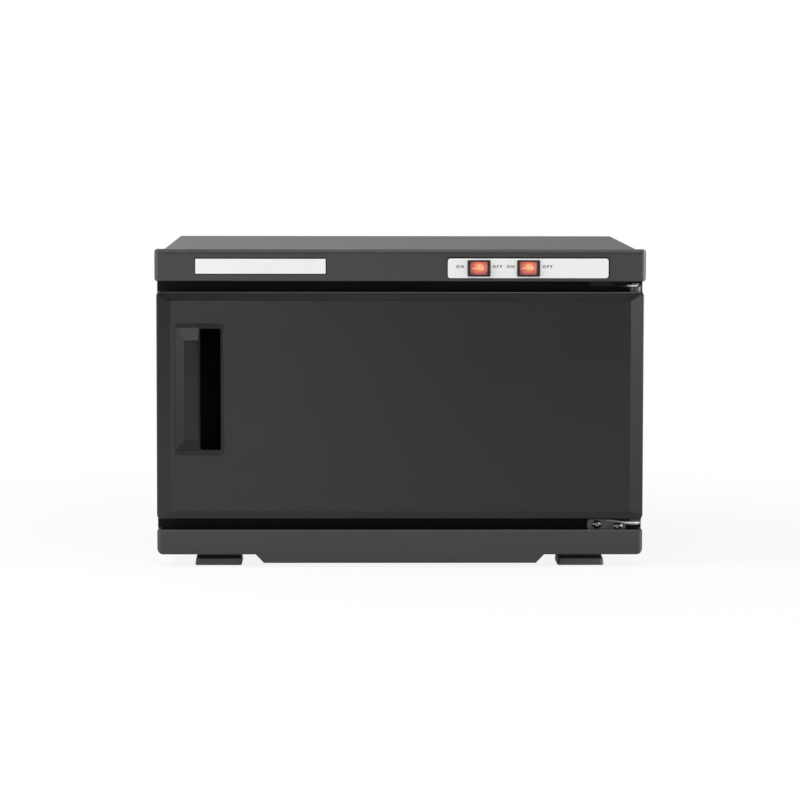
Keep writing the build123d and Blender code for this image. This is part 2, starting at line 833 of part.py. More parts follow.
def make_door_handle():
    """Recessed pull: a flange on the door, a pocket behind it and a bevelled grip across half of it."""
    span_z = (handle_bottom, handle_top)
    flange = slab((handle_left, handle_right), (front - handle_flange, front), span_z, handle_corner)
    flange = fillet(flange.faces().sort_by(Axis.Y)[0].edges(), handle_flange_soft)
    handle = flange + handle_socket(0)
    foot = pane(
        (handle_left + grip_left, handle_left + grip_flat_left + grip_flat_width),
        (handle_bottom + grip_end_rise, handle_top - grip_end_rise),
        grip_corner,
        front - handle_flange + seat,
    )
    crown = pane(
        (handle_left + grip_flat_left, handle_left + grip_flat_left + grip_flat_width),
        (handle_bottom + grip_end_rise + grip_end_bevel, handle_top - grip_end_rise - grip_end_bevel),
        grip_corner,
        front - grip_proud,
    )
    handle += loft([foot.face(), crown.face()])
    floor = front + finger_depth
    pocket_z = (pocket_low, pocket_high)
    handle -= slab((pocket_left, finger_end), (front + grip_wall, floor), pocket_z, finger_corner)
    handle -= slab((finger_start, finger_end), (front - grip_proud, floor), pocket_z, finger_corner)
    return handle


def make_door_lining():
    """Sheet that closes the back of the door."""
    x, z = door_span(door_wall + fit)
    plate = slab(x, (lining_front, door_back), z, wrap_bend)
    for x_place, z_place in door_screw_places:
        plate -= through(x_place, (lining_front - sheet, door_back + sheet), z_place, m3_radius + hole_play)
    return plate


def make_door_insulation():
    """Foam board between the skin and the lining, cut round the handle and the bosses."""
    x, z = door_span(door_wall + fit)
    foam = block(x, (panel_back + fit, lining_front - fit), z)
    for low in (door_bottom, door_top - boss_length):
        foam -= block((door_half - boss_side - fit, door_half), (front, door_back),
                      (low - fit, low + boss_length + fit))
    for x_place, z_place in door_screw_places:
        foam -= through(x_place, (front, door_back), z_place, door_boss_radius + fit)
    return foam - handle_socket(2 * fit)


def make_door_gasket():
    """Soft ring on the lining that closes the gap round the cavity."""
    x = both(door_half - gasket_inset_side)
    z = (door_bottom + gasket_inset_end, door_top - gasket_inset_end)
    depth = (door_back, frame_front - fit)
    ring = slab(x, depth, z, gasket_corner)
    hole_x = (x[0] + gasket_width, x[1] - gasket_width)
    hole_z = (z[0] + gasket_width, z[1] - gasket_width)
    ring -= slab(hole_x, (depth[0] - sheet, depth[1] + sheet), hole_z, gasket_corner / 2)
    return ring


def make_strike_plate():
    return slab(
        around(catch_x, strike_width),
        (door_back, door_back + strike_thickness),
        around(catch_z, strike_height),
        edge_soft,
    )


def make_door_bushes():
    """Nylon bushes with flanges, pressed into the door's lower and upper edges."""
    bushes = []
    for edge, inward in ((door_bottom, 1), (door_top, -1)):
        barrel = upright(pivot_x, pivot_y, sorted((edge, edge + inward * bush_length)), bush_radius)
        flange = upright(pivot_x, pivot_y, sorted((edge, edge - inward * bush_flange)), bush_flange_radius)
        bore = upright(pivot_x, pivot_y, around(edge, 3 * bush_length), hinge_pin + pin_play)
        bushes.append(barrel + flange - bore)
    return group(bushes)


def make_door_screws():
    length = lining_front - panel_back
    return group(
        Pos(x, door_back, z) * face_rear * m3_screw(length) for x, z in door_screw_places
    )


# ---------------------------------------------------------------- hinges and catch


def hinge_screw_places():
    """Lower pair, then upper pair, each pair slightly staggered."""
    lower = lower_lug_top - hinge_height / 2 + hinge_screw_stagger / 2
    upper = upper_lug_bottom + hinge_plate + upper_hinge_height / 2
    first = hinge_start + hinge_screw_first
    second = first + hinge_screw_pitch
    return [
        (first, lower - hinge_screw_stagger / 4),
        (second, lower - hinge_screw_stagger - hinge_screw_stagger / 4),
        (first, upper),
        (second, upper),
    ]


def make_hinge_bracket(lug_low, plate_low, plate_high):
    """Screwed plate with a lug that sweeps forward to the pivot."""
    base_y = frame_front - hinge_plate
    plate = slab((hinge_start, hinge_end), (base_y, frame_front), (plate_low, plate_high), hinge_corner)
    sweep_start = hinge_start + hinge_sweep
    outline = [
        Spline(
            (sweep_start, base_y),
            (pivot_x, pivot_y - hinge_tip),
            tangents=((1, 0), (1, 0)),
        ),
        ThreePointArc(
            (pivot_x, pivot_y - hinge_tip),
            (pivot_x + hinge_tip * math.sqrt(0.5), pivot_y - hinge_tip * math.sqrt(0.5)),
            (pivot_x + hinge_tip, pivot_y),
        ),
        Polyline(
            (pivot_x + hinge_tip, pivot_y),
            (hinge_end, base_y),
            (hinge_end, frame_front),
            (sweep_start, frame_front),
            (sweep_start, base_y),
        ),
    ]
    lug = extrude(Pos(0, 0, lug_low) * make_face(Curve() + outline), amount=hinge_plate, dir=(0, 0, 1))
    bracket = plate + lug
    lug_span = (lug_low - sheet, lug_low + hinge_plate + sheet)
    bracket -= upright(pivot_x, pivot_y, lug_span, hinge_pin + pin_seat)
    for x, z in hinge_screw_places():
        if plate_low < z < plate_high:
            bracket -= through(x, (base_y - sheet, frame_front + sheet), z, m4_radius + hole_play)
    return bracket


def make_lower_hinge():
    lug_low = lower_lug_top - hinge_plate
    return make_hinge_bracket(lug_low, lower_lug_top - hinge_height, lower_lug_top)


def make_upper_hinge():
    return make_hinge_bracket(upper_lug_bottom, upper_lug_bottom, upper_lug_bottom + upper_hinge_height)


def make_hinge_pins():
    """Riveted pins that point into the door from both brackets."""
    lower = upright(pivot_x, pivot_y, (lower_lug_top - hinge_plate, door_bottom + pin_reach), hinge_pin)
    head_top = lower_lug_top - hinge_plate
    lower += upright(pivot_x, pivot_y, (head_top - pin_head_height, head_top), pin_head)
    upper = upright(pivot_x, pivot_y, (door_top - pin_reach, upper_lug_bottom + hinge_plate), hinge_pin)
    head_low = upper_lug_bottom + hinge_plate
    upper += upright(pivot_x, pivot_y, (head_low, head_low + pin_head_height), pin_head)
    return group([lower, upper])


def make_hinge_washers():
    """Spacing washers between each lug and its bush."""
    lower = upright(pivot_x, pivot_y, (lower_lug_top, door_bottom - bush_flange - fit), bush_flange_radius)
    upper = upright(pivot_x, pivot_y, (door_top + bush_flange + fit, upper_lug_bottom), bush_flange_radius)
    bore = upright(pivot_x, pivot_y, (0, total_height), hinge_pin + pin_play)
    return group([lower - bore, upper - bore])


def make_hinge_screws():
    length = hinge_plate + frame_wall + screw_past
    return group(
        Pos(x, frame_front - hinge_plate, z) * face_front * m4_screw(length)
        for x, z in hinge_screw_places()
    )


def make_catch_case():
    """Case that holds the magnet in the frame."""
    case = block(
        around(catch_x, catch_width),
        (frame_front - catch_proud, frame_back + catch_depth),
        around(catch_z, catch_height),
    )
    return case - magnet_block(magnet_gap)


def magnet_block(margin):
    """Magnet's own space inside the case, drawn out by a margin."""
    return block(
        around(catch_x, catch_width - 2 * catch_wall + 2 * margin),
        (frame_front - catch_proud - margin, frame_back + catch_depth / 2 + margin),
        around(catch_z, catch_height - 2 * catch_wall + 2 * margin),
    )


def make_catch_magnet():
    return magnet_block(0)


# ---------------------------------------------------------------- cavity


def make_inner_liner():
    """Open-fronted metal box with a flange behind the front frame."""
    liner = block(both(liner_half), (frame_front, liner_rear), (liner_bottom, liner_top))
    flange_y = frame_back + seat
    liner += slab(
        both(liner_half + liner_flange),
        (flange_y, flange_y + liner_sheet),
        (liner_bottom - liner_flange, liner_top + liner_flange),
        wrap_bend,
    )
    liner -= block(both(cavity_half), (frame_front - sheet, cavity_back), (cavity_floor, cavity_ceiling))
    for side in (-1, 1):
        x = side * (lamp_half + holder_width / 2)
        liner -= through(x, (cavity_back - sheet, liner_rear + sheet), lamp_z, wire_radius + fit)
    return liner


def make_wire_rack():
    """Welded wire shelf on two bent feet."""
    half = cavity_half - rack_margin
    y = (frame_front + rack_margin, lamp_y - guard_setback())
    z = cavity_floor + rack_height
    ring = (Pos(0, (y[0] + y[1]) / 2, z) * RectangleRounded(2 * half, y[1] - y[0], rack_corner)).wire()
    rack = sweep(Plane(origin=ring @ 0, z_dir=ring % 0) * Circle(rack_wire), path=ring)
    bars = int((2 * half - 2 * rack_corner) // rack_pitch)
    bar_z = z + rack_wire + rack_bar - rack_weld
    for i in range(bars + 1):
        x = (i - bars / 2) * rack_pitch
        rack += through(x, (y[0] - rack_wire / 2, y[1] + rack_wire / 2), bar_z, rack_bar)
    foot_z = cavity_floor + rack_wire + seat
    for side in (-1, 1):
        x = side * half
        low = y[0] + rack_foot_inset
        high = y[1] - rack_foot_inset
        foot = [(x, low, z), (x, low, foot_z), (x, high, foot_z), (x, high, z)]
        rack += tube(foot, rack_wire, rack_foot_bend)
    return rack


def guard_setback():
    """Rack's rear wire stays in front of the lamp guard."""
    return guard_depth - lamp_setback + rack_margin


def make_lamp_tube():
    glass_half = lamp_half - lamp_cap_length / 2
    return across(both(glass_half), lamp_y, lamp_z, lamp_radius)


def make_lamp_caps():
    """Metal end caps with two contact pins each."""
    caps = []
    glass_half = lamp_half - lamp_cap_length / 2
    for side in (-1, 1):
        span = sorted((side * (lamp_half - lamp_cap_length), side * lamp_half))
        cap = across(span, lamp_y, lamp_z, lamp_radius + lamp_cap_wall)
        inner = sorted((side * (lamp_half - 2 * lamp_cap_length), side * glass_half))
        cap -= across(inner, lamp_y, lamp_z, lamp_radius)
        for offset in (-1, 1):
            pin = sorted((side * (lamp_half - sheet), side * (lamp_half + lamp_pin_length)))
            cap += across(pin, lamp_y, lamp_z + offset * lamp_pin_spacing / 2, lamp_pin)
        caps.append(cap)
    return group(caps)


def make_lamp_holders():
    """Sockets fixed to the liner's back wall at both ends of the lamp."""
    holders = []
    for side in (-1, 1):
        x = sorted((side * (lamp_half + seat), side * (lamp_half + seat + holder_width)))
        holder = block(x, (cavity_back - holder_depth, cavity_back), around(lamp_z, holder_height))
        holder = fillet(holder.edges().filter_by(Axis.X).group_by(Axis.Y)[0], lamp_radius / 2)
        for offset in (-1, 1):
            pin = sorted((side * (lamp_half - sheet), side * (lamp_half + lamp_pin_length + fit)))
            holder -= across(pin, lamp_y, lamp_z + offset * lamp_pin_spacing / 2, lamp_pin + pin_play)
        holders.append(holder)
    return group(holders)


def make_lamp_guard():
    """Slotted angle sheet that screens the lamp from the towels."""
    half = lamp_half + holder_width + guard_margin
    y = (cavity_back - guard_depth, cavity_back)
    z = (cavity_ceiling - guard_height, cavity_ceiling)
    guard = block(both(half), y, z)
    guard = fillet(guard.edges().filter_by(Axis.X).group_by(Axis.Z)[0].sort_by(Axis.Y)[0], 3 * sheet)
    inside = block(both(half + sheet), (y[0] + sheet, y[1] + sheet), (z[0] + sheet, z[1] + sheet))
    guard -= fillet(inside.edges().filter_by(Axis.X).group_by(Axis.Z)[0].sort_by(Axis.Y)[0], 2 * sheet)
    slots = int(2 * lamp_half // guard_slot_pitch)
    middle_y = (y[0] + y[1]) / 2
    middle_z = (z[0] + z[1]) / 2
    for i in range(slots):
        x = around((i - (slots - 1) / 2) * guard_slot_pitch, guard_slot)
        wall = (y[0] - sheet, y[0] + 2 * sheet)
        floor = (z[0] - sheet, z[0] + 2 * sheet)
        guard -= slab(x, wall, around(middle_z, guard_slot_length), guard_slot * slot_round)
        guard -= mat(x, around(middle_y, guard_slot_length), floor, guard_slot * slot_round)
    return guard


# ---------------------------------------------------------------- heater, controls, insulation


def make_heater_mat():
    """Flat heating mat under the liner's floor."""
    return mat(
        both(liner_half - heater_margin_x),
        (board_front + heater_margin_y, liner_rear - heater_margin_y),
        (heater_bottom, heater_top),
        heater_corner,
    )


def control_y():
    return frame_front + control_setback


def thermostat_space(margin):
    return upright(
        thermostat_x,
        control_y(),
        (heater_bottom - seat - thermostat_height - margin, heater_bottom - seat + margin),
        thermostat_radius + margin,
    )


def fuse_space(margin):
    z = heater_bottom - seat - fuse_radius
    return across(around(fuse_x, fuse_length + 2 * margin), control_y(), z, fuse_radius + margin)


def make_thermostat():
    return thermostat_space(0)


def make_thermal_fuse():
    return fuse_space(0)


def make_bottom_shield():
    """Sheet that carries the lower insulation above the drip tray."""
    half = body_half - sheet - fit
    shield_front = frame_back + screw_past + fit
    return block(both(half), (shield_front, rear - sheet - fit), (shield_bottom, shield_top))


def make_insulation_bottom():
    board = block(
        both(liner_half),
        (board_front, board_rear),
        (shield_top + seat, heater_bottom - seat),
    )
    board -= thermostat_space(fit)
    board -= fuse_space(fit)
    for wire in heater_routes():
        board -= tube(wire, wire_radius + fit, wire_bend)
    return board


def make_insulation_top():
    return block(both(liner_half), (board_front, board_rear), (liner_top + seat, electrics_bottom - seat))


def make_insulation_side(side):
    x = sorted((side * (liner_half + seat), side * (body_half - sheet - seat)))
    y = (frame_back + catch_depth + fit, board_rear)
    return block(x, y, (shield_top + seat, electrics_bottom - seat))


def make_insulation_back():
    board = block(both(liner_half), (liner_rear + seat, board_rear), (heater_bottom, liner_top))
    for side in (-1, 1):
        x = side * (lamp_half + holder_width / 2)
        board -= through(x, (liner_rear, board_rear + sheet), lamp_z, wire_radius + fit)
    return board


def make_electrics_plate():
    """Sheet above the insulation that carries the ballast and the terminal block."""
    half = body_half - sheet - fit
    return block(both(half), (frame_back + electrics_setback, board_rear), (electrics_bottom, electrics_top))


def make_lamp_ballast():
    """Potted ballast with two feet."""
    y = frame_back + ballast_setback
    can = block(
        around(ballast_x, ballast_length),
        around(y, ballast_width),
        (electrics_top, electrics_top + ballast_height),
    )
    can = fillet(can.edges().filter_by(Axis.Z), edge_soft)
    for side in (-1, 1):
        x = ballast_x + side * (ballast_length + ballast_foot) / 2
        foot_z = (electrics_top, electrics_top + sheet)
        can += block(around(x, ballast_foot), around(y, ballast_width), foot_z)
    return can


def terminal_block_y():
    return frame_back + terminal_block_setback


def make_terminal_block():
    """Screw terminal strip."""
    strip = block(
        around(terminal_block_x, terminal_block_length),
        around(terminal_block_y(), terminal_block_width),
        (electrics_top, electrics_top + terminal_block_height),
    )
    top = electrics_top + terminal_block_height
    for i in range(terminal_poles):
        x = terminal_block_x + (i - (terminal_poles - 1) / 2) * terminal_block_length / terminal_poles
        strip -= upright(x, terminal_block_y(), (top - terminal_block_height / 3, top + sheet), m4_radius)
    return strip


def wire_z():
    return electrics_top + wire_lift


def switch_routes():
    """Wires from each switch back to the terminal block."""
    z = wire_z()
    end = terminal_block_y() - terminal_block_width / 2 - fit
    start = plate_front + switch_body_depth + terminal_length + fit
    routes = []
    for i, x in enumerate(switch_places):
        target = terminal_block_x + (2 * i - 1) * terminal_block_length / 4
        turn = frame_back + electrics_setback + wire_bend * (3 + 2 * i)
        far = turn + wire_bend * 4
        z_start = switch_plate_middle
        routes.append([(x, start, z_start), (x, turn, z_start), (target, far, z), (target, end, z)])
    return routes


def ballast_route():
    """Ballast lead to the terminal block."""
    y = frame_back + ballast_setback
    start = (ballast_x + ballast_length / 2 + fit, y, wire_z())
    target = terminal_block_x
    end = terminal_block_y() - terminal_block_width / 2 - fit
    return [start, (target, y, wire_z()), (target, end, wire_z())]


def mains_route():
    """Inlet lead up the back of the cabinet to the terminal block."""
    start_y = terminal_block_y() + terminal_block_width / 2 + fit
    x = terminal_block_x
    low = inlet_height + inlet_body_height / 2 + fit
    return [
        (x, start_y, wire_z()),
        (x, rear_wire_y, wire_z()),
        (x, rear_wire_y, cavity_ceiling),
        (inlet_x, rear - inlet_body_depth / 2, cavity_floor + (cavity_ceiling - cavity_floor) / 2),
        (inlet_x, rear - inlet_body_depth / 2, low),
    ]


def heater_routes():
    """Leads from the thermostat and the fuse to the rear space."""
    z = heater_bottom - seat - fuse_radius
    low_y = control_y()
    thermostat_lead = [
        (thermostat_x, low_y + thermostat_radius + fit, z),
        (thermostat_x, rear_wire_y, z),
        (thermostat_x, rear_wire_y, z + 3 * wire_bend),
    ]
    fuse_lead = [
        (fuse_x, low_y + fuse_radius + fit, z),
        (fuse_x, rear_wire_y, z),
        (fuse_x, rear_wire_y, z + 3 * wire_bend),
    ]
    return [thermostat_lead, fuse_lead]


def lamp_routes():
    """Lamp leads from the rear space through the liner's back wall to the holders."""
    routes = []
    for side in (-1, 1):
        x = side * (lamp_half + holder_width / 2)
        turn = (x, rear_wire_y, lamp_z)
        routes.append([(x, cavity_back + fit, lamp_z), turn, (x, rear_wire_y, electrics_top)])
    return routes


def make_wiring_loom():
    routes = switch_routes() + [ballast_route(), mains_route()] + heater_routes() + lamp_routes()
    return group(tube(route, wire_radius, wire_bend) for route in routes)


# ---------------------------------------------------------------- mains inlet


def make_power_inlet():
    """Recessed appliance inlet with a screwed flange."""
    face = rear_face + inlet_flange
    flange = slab(
        around(inlet_x, inlet_flange_width),
        (rear_face, face),
        around(inlet_height, inlet_flange_height),
        4 * edge_soft,
    )
    flange = fillet(flange.faces().sort_by(Axis.Y)[-1].edges(), edge_soft)
    body = block(
        around(inlet_x, inlet_body_width),
        (rear - inlet_body_depth, rear_face + sheet / 2),
        around(inlet_height, inlet_body_height),
    )
    inlet = flange + body
    recess = block(
        around(inlet_x, inlet_recess_width),
        (face - inlet_recess_depth, face + sheet),
        around(inlet_height, inlet_recess_height),
    )
    inlet -= chamfer(recess.edges().filter_by(Axis.Y).group_by(Axis.Z)[-1], inlet_recess_corner)
    for side in (-1, 1):
        x = inlet_x + side * inlet_screw_pitch / 2
        inlet -= through(x, (rear, face + sheet), inlet_height, m3_radius + hole_play)
    return inlet


def make_inlet_contacts():
    """Three flat blades standing in the inlet's recess."""
    floor = rear_face + inlet_flange - inlet_recess_depth
    blades = []
    places = [(-contact_spread, -contact_stagger), (0, contact_stagger), (contact_spread, -contact_stagger)]
    for x, z in places:
        blade = block(
            around(inlet_x + x, contact_width),
            (floor, floor + contact_length),
            around(inlet_height + z, contact_height),
        )
        blades.append(blade)
    return group(blades)


def make_inlet_screws():
    length = inlet_flange + sheet + screw_past
    places = [inlet_x - inlet_screw_pitch / 2, inlet_x + inlet_screw_pitch / 2]
    return group(
        Pos(x, rear_face + inlet_flange, inlet_height) * face_rear * m3_screw(length) for x in places
    )


# ---------------------------------------------------------------- drip tray and base


def make_drip_tray():
    """Shallow pan with a deep front that has a finger lip below it."""
    lip_outline = Polyline(
        (-lip_half_width - lip_slope, strip_bottom),
        (-lip_half_width, strip_bottom - lip_drop),
        (lip_half_width, strip_bottom - lip_drop),
        (lip_half_width + lip_slope, strip_bottom),
        (lip_half_width + lip_slope, strip_bottom + tray_wall),
        (-lip_half_width - lip_slope, strip_bottom + tray_wall),
        close=True,
    )
    lip = extrude(front_plane(front) * make_face(lip_outline), amount=tray_front_wall, dir=(0, 1, 0))
    lip = fillet(lip.faces().sort_by(Axis.Y)[0].edges().group_by(Axis.Z)[0], tray_edge_soft)
    depth = (front, front + tray_return)
    height = (strip_bottom, strip_top)
    tray = round_ended(tray_half, depth, height, tray_end, tray_edge_soft, tray_corner_low, tray_corner_high)
    tray -= block(
        both(tray_half - tray_front_wall),
        (front + tray_front_wall, front + tray_return + sheet),
        (0, total_height),
    )
    tray += lip
    pan_y = (front + tray_front_wall / 2, tray_back)
    tray += block(both(tray_body_half), pan_y, (tray_floor_low, tray_rim_top))
    for side in (-1, 1):
        x = sorted((side * tray_body_half, side * (tray_body_half + tray_rim)))
        rim_y = (frame_back + frame_rim, tray_back)
        tray += block(x, rim_y, (tray_rim_top - tray_wall, tray_rim_top))
    tray -= block(
        both(tray_body_half - tray_wall),
        (front + tray_front_wall, tray_back - tray_wall),
        (tray_floor_low + tray_wall, total_height),
    )
    return tray


def make_tray_runner(side):
    """Bent strip on the base that the tray's rim slides on."""
    inner = tray_body_half + runner_play
    outer = tray_body_half + tray_rim + sheet
    top = tray_rim_top - tray_wall - fit
    y = (frame_back + frame_rim + fit, frame_back + frame_rim + runner_length)
    web = block(sorted((side * (outer - sheet), side * outer)), y, (base_top, top))
    ledge = block(sorted((side * inner, side * outer)), y, (top - sheet, top))
    flange_x = sorted((side * (outer - sheet), side * (outer + return_flange / 2)))
    flange = block(flange_x, y, (base_top, base_top + sheet))
    return web + ledge + flange


def make_foot(x, y):
    """Moulded foot: splayed pad under a narrower neck, with a counterbore for its screw."""
    pad_low = Plane(origin=(x, y, 0)) * RectangleRounded(foot_width, foot_depth, 2 * foot_edge_soft)
    pad_high = Plane(origin=(x, y, foot_pad)) * RectangleRounded(
        foot_width - 2 * foot_splay, foot_depth - 2 * foot_splay, 2 * foot_edge_soft)
    foot = loft([pad_low.face(), pad_high.face()])
    foot = fillet(foot.faces().sort_by(Axis.Z)[0].edges(), foot_edge_soft / 2)
    neck = 2 * (foot_neck_inset + foot_splay)
    neck_z = (foot_pad - foot_splay, base_bottom)
    foot += mat(around(x, foot_width - neck), around(y, foot_depth - neck), neck_z, 2 * foot_edge_soft)
    foot -= upright(x, y, (-sheet, foot_screw_recess + m4_head_height), m4_head + fit)
    foot -= upright(x, y, (0, base_bottom + sheet), m4_radius + hole_play)
    return foot


def make_foot_screws():
    length = base_top + screw_past - foot_screw_recess - m4_head_height
    seat_z = foot_screw_recess + m4_head_height
    return group(Pos(x, y, seat_z) * face_down * m4_screw(length) for x, y in foot_places.values())


# ---------------------------------------------------------------- housing screws


def make_rear_screws():
    length = 2 * sheet + screw_past
    return group(Pos(x, rear_face, z) * face_rear * m4_screw(length) for x, z in rear_screw_places())


def make_side_screws():
    length = 2 * sheet + screw_past
    screws = []
    for side in (-1, 1):
        for y in side_screw_places():
            screws.append(Pos(side * body_half, y, side_screw_z()) * Rot(0, side * 90, 0) * m4_screw(length))
    return group(screws)


def make_fascia_screws():
    length = frame_wall + frame_front - front - 2 * fascia_wall - 4 * sheet
    return group(Pos(x, frame_back, fascia_boss_z) * face_rear * m3_screw(length) for x in fascia_boss_places)


# ---------------------------------------------------------------- write every sub-part

subparts = {
    "outer_wrap": make_outer_wrap,
    "rear_panel": make_rear_panel,
    "base_plate": make_base_plate,
    "front_frame": make_front_frame,
    "control_fascia": make_control_fascia,
    "switch_plate": make_switch_plate,
    "name_plate": make_name_plate,
    "heat_switch_body": lambda: make_switch_body(switch_places[0]),
    "heat_rocker": lambda: make_rocker(switch_places[0]),
    "lamp_switch_body": lambda: make_switch_body(switch_places[1]),
    "lamp_rocker": lambda: make_rocker(switch_places[1]),
    "door_skin": make_door_skin,
    "door_handle": make_door_handle,
    "door_lining": make_door_lining,
    "door_insulation": make_door_insulation,
    "door_gasket": make_door_gasket,
    "strike_plate": make_strike_plate,
    "door_bushes": make_door_bushes,
    "door_screws": make_door_screws,
    "lower_hinge": make_lower_hinge,
    "upper_hinge": make_upper_hinge,
    "hinge_pins": make_hinge_pins,
    "hinge_washers": make_hinge_washers,
    "hinge_screws": make_hinge_screws,
    "catch_case": make_catch_case,
    "catch_magnet": make_catch_magnet,
    "inner_liner": make_inner_liner,
    "wire_rack": make_wire_rack,
    "lamp_tube": make_lamp_tube,
    "lamp_caps": make_lamp_caps,
    "lamp_holders": make_lamp_holders,
    "lamp_guard": make_lamp_guard,
    "heater_mat": make_heater_mat,
    "thermostat": make_thermostat,
    "thermal_fuse": make_thermal_fuse,
    "bottom_shield": make_bottom_shield,
    "insulation_bottom": make_insulation_bottom,
    "insulation_top": make_insulation_top,
    "insulation_left": lambda: make_insulation_side(-1),
    "insulation_right": lambda: make_insulation_side(1),
    "insulation_back": make_insulation_back,
    "electrics_plate": make_electrics_plate,
    "lamp_ballast": make_lamp_ballast,
    "terminal_block": make_terminal_block,
    "wiring_loom": make_wiring_loom,
    "power_inlet": make_power_inlet,
    "inlet_contacts": make_inlet_contacts,
    "inlet_screws": make_inlet_screws,
    "drip_tray": make_drip_tray,
    "tray_runner_left": lambda: make_tray_runner(-1),
    "tray_runner_right": lambda: make_tray_runner(1),
    "foot_screws": make_foot_screws,
    "rear_screws": make_rear_screws,
    "side_screws": make_side_screws,
    "fascia_screws": make_fascia_screws,
}

os.makedirs("parts", exist_ok=True)
for name, make in subparts.items():
    export_step(make(), f"parts/{name}.step")
for name, (foot_x, foot_y) in foot_places.items():
    export_step(make_foot(foot_x, foot_y), f"parts/{name}.step")
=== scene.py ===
import json
import math

import bmesh
import bpy
from mathutils import Matrix, Vector


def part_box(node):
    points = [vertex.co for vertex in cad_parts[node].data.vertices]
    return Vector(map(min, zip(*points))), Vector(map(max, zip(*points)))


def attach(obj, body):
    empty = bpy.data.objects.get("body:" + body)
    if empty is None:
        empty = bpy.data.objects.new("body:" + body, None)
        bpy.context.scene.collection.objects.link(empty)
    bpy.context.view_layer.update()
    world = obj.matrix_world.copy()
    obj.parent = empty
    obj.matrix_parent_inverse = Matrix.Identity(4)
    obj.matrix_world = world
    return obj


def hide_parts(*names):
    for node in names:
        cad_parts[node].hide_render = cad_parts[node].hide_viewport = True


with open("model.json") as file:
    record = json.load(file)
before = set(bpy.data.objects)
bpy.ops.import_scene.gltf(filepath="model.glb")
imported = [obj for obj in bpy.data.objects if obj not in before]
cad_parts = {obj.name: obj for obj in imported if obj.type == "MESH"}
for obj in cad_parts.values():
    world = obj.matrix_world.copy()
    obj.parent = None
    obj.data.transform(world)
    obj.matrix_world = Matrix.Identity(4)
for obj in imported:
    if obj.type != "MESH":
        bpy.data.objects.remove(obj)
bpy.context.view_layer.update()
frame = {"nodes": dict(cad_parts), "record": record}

nodes = frame["nodes"]
slots = {entry["node"]: entry["material_slot"] for entry in frame["record"]["subparts"]}
MM = 0.001

# ---------------------------------------------------------------- places that several pieces share

front_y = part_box("door_skin")[0].y           # plane of the fascia and of the door's panel
plate_face_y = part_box("switch_plate")[0].y
liner_low, liner_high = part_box("inner_liner")
guard_low, guard_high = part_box("lamp_guard")
lower_lug_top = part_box("lower_hinge")[1].z
upper_lug_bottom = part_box("upper_hinge")[0].z
lug_thickness = 2.0 * MM
foot_pad_top = 6.0 * MM
hinge_pivot_x = (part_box("hinge_pins")[0].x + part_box("hinge_pins")[1].x) / 2
hinge_plate_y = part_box("lower_hinge")[1].y - lug_thickness
rocker_tilt = math.radians(10)               # each way, from level
pivot_behind_bezel = 2.8 * MM


def rocker_pivot(switch):
    """Point on the axis that a switch's rocker turns about, level with the middle of its bezel."""
    low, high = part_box(switch + "_switch_body")
    return Vector(((low.x + high.x) / 2, low.y + pivot_behind_bezel, (low.z + high.z) / 2))


pivots = {"heat": rocker_pivot("heat"), "lamp": rocker_pivot("lamp")}
switch_pitch = pivots["lamp"].x - pivots["heat"].x


# ---------------------------------------------------------------- small tools

noise_span = (0.3, 0.7)                      # a noise texture's values lie mostly between these


def linear(hex_colour):
    """sRGB hex value as linear red, green, blue and an alpha of one."""
    channels = [int(hex_colour[i:i + 2], 16) / 255 for i in (1, 3, 5)]
    return [c / 12.92 if c <= 0.04045 else ((c + 0.055) / 1.055) ** 2.4 for c in channels] + [1.0]


def feed(tree, node, inputs):
    """Gives a node's inputs, in order or by key, a constant, a socket or another node's first live output."""
    for key, given in inputs.items() if isinstance(inputs, dict) else enumerate(inputs):
        socket = node.inputs[key]
        for part in given if socket.is_multi_input else [given]:
            if isinstance(part, bpy.types.Node):
                part = next(output for output in part.outputs if output.enabled)
            if isinstance(part, bpy.types.NodeSocket):
                tree.links.new(part, socket)
            else:
                socket.default_value = part


def add_node(tree, kind, inputs=(), **settings):
    """Adds a node to a tree with its settings, its constant inputs and its incoming links."""
    node = tree.nodes.new(kind)
    for name, value in settings.items():
        setattr(node, name, value)
    feed(tree, node, inputs)
    return node


def shaded(colour, factor):
    """Colour made lighter or darker by a factor."""
    return [min(1.0, c * factor) for c in colour[:3]] + [colour[3]]


def new_material(name):
    """Empty node material with its tree, Principled shader and object coordinates."""
    material = bpy.data.materials.new(name)
    material.use_nodes = True
    tree = material.node_tree
    shader = tree.nodes["Principled BSDF"]
    place = add_node(tree, "ShaderNodeTexCoord").outputs["Object"]
    return material, tree, shader, place


def grained(name, hex_colour, roughness, grain, depth, mottle=0.04, spread=0.02, **constants):
    """Finish with an all-over grain of a pitch and a depth in metres; constants are the shader's own inputs."""
    material, tree, shader, place = new_material(name)
    colour = linear(hex_colour)
    patch = 60 * MM                              # size of the soft lighter and duller patches
    fine = add_node(tree, "ShaderNodeTexNoise", {
        "Vector": place, "Scale": 1 / grain, "Detail": 3.0, "Roughness": 0.6})
    broad = add_node(tree, "ShaderNodeTexNoise", {
        "Vector": place, "Scale": 1 / patch, "Detail": 4.0, "Roughness": 0.55})
    both = add_node(tree, "ShaderNodeMath", (fine, 0.5, broad), operation="MULTIPLY_ADD")
    feed(tree, shader, {
        "Base Color": add_node(tree, "ShaderNodeMix", {
            0: add_node(tree, "ShaderNodeMapRange", (both, 0.5, 1.0, 0.0, 1.0)),
            6: shaded(colour, 1 - mottle), 7: shaded(colour, 1 + mottle)}, data_type="RGBA"),
        "Roughness": add_node(tree, "ShaderNodeMapRange", (
            broad, *noise_span, roughness - spread, roughness + spread)),
        "Normal": add_node(tree, "ShaderNodeBump", {"Strength": 1.0, "Distance": depth, "Height": fine}),
        **{key.replace("_", " "): value for key, value in constants.items()}})
    return material


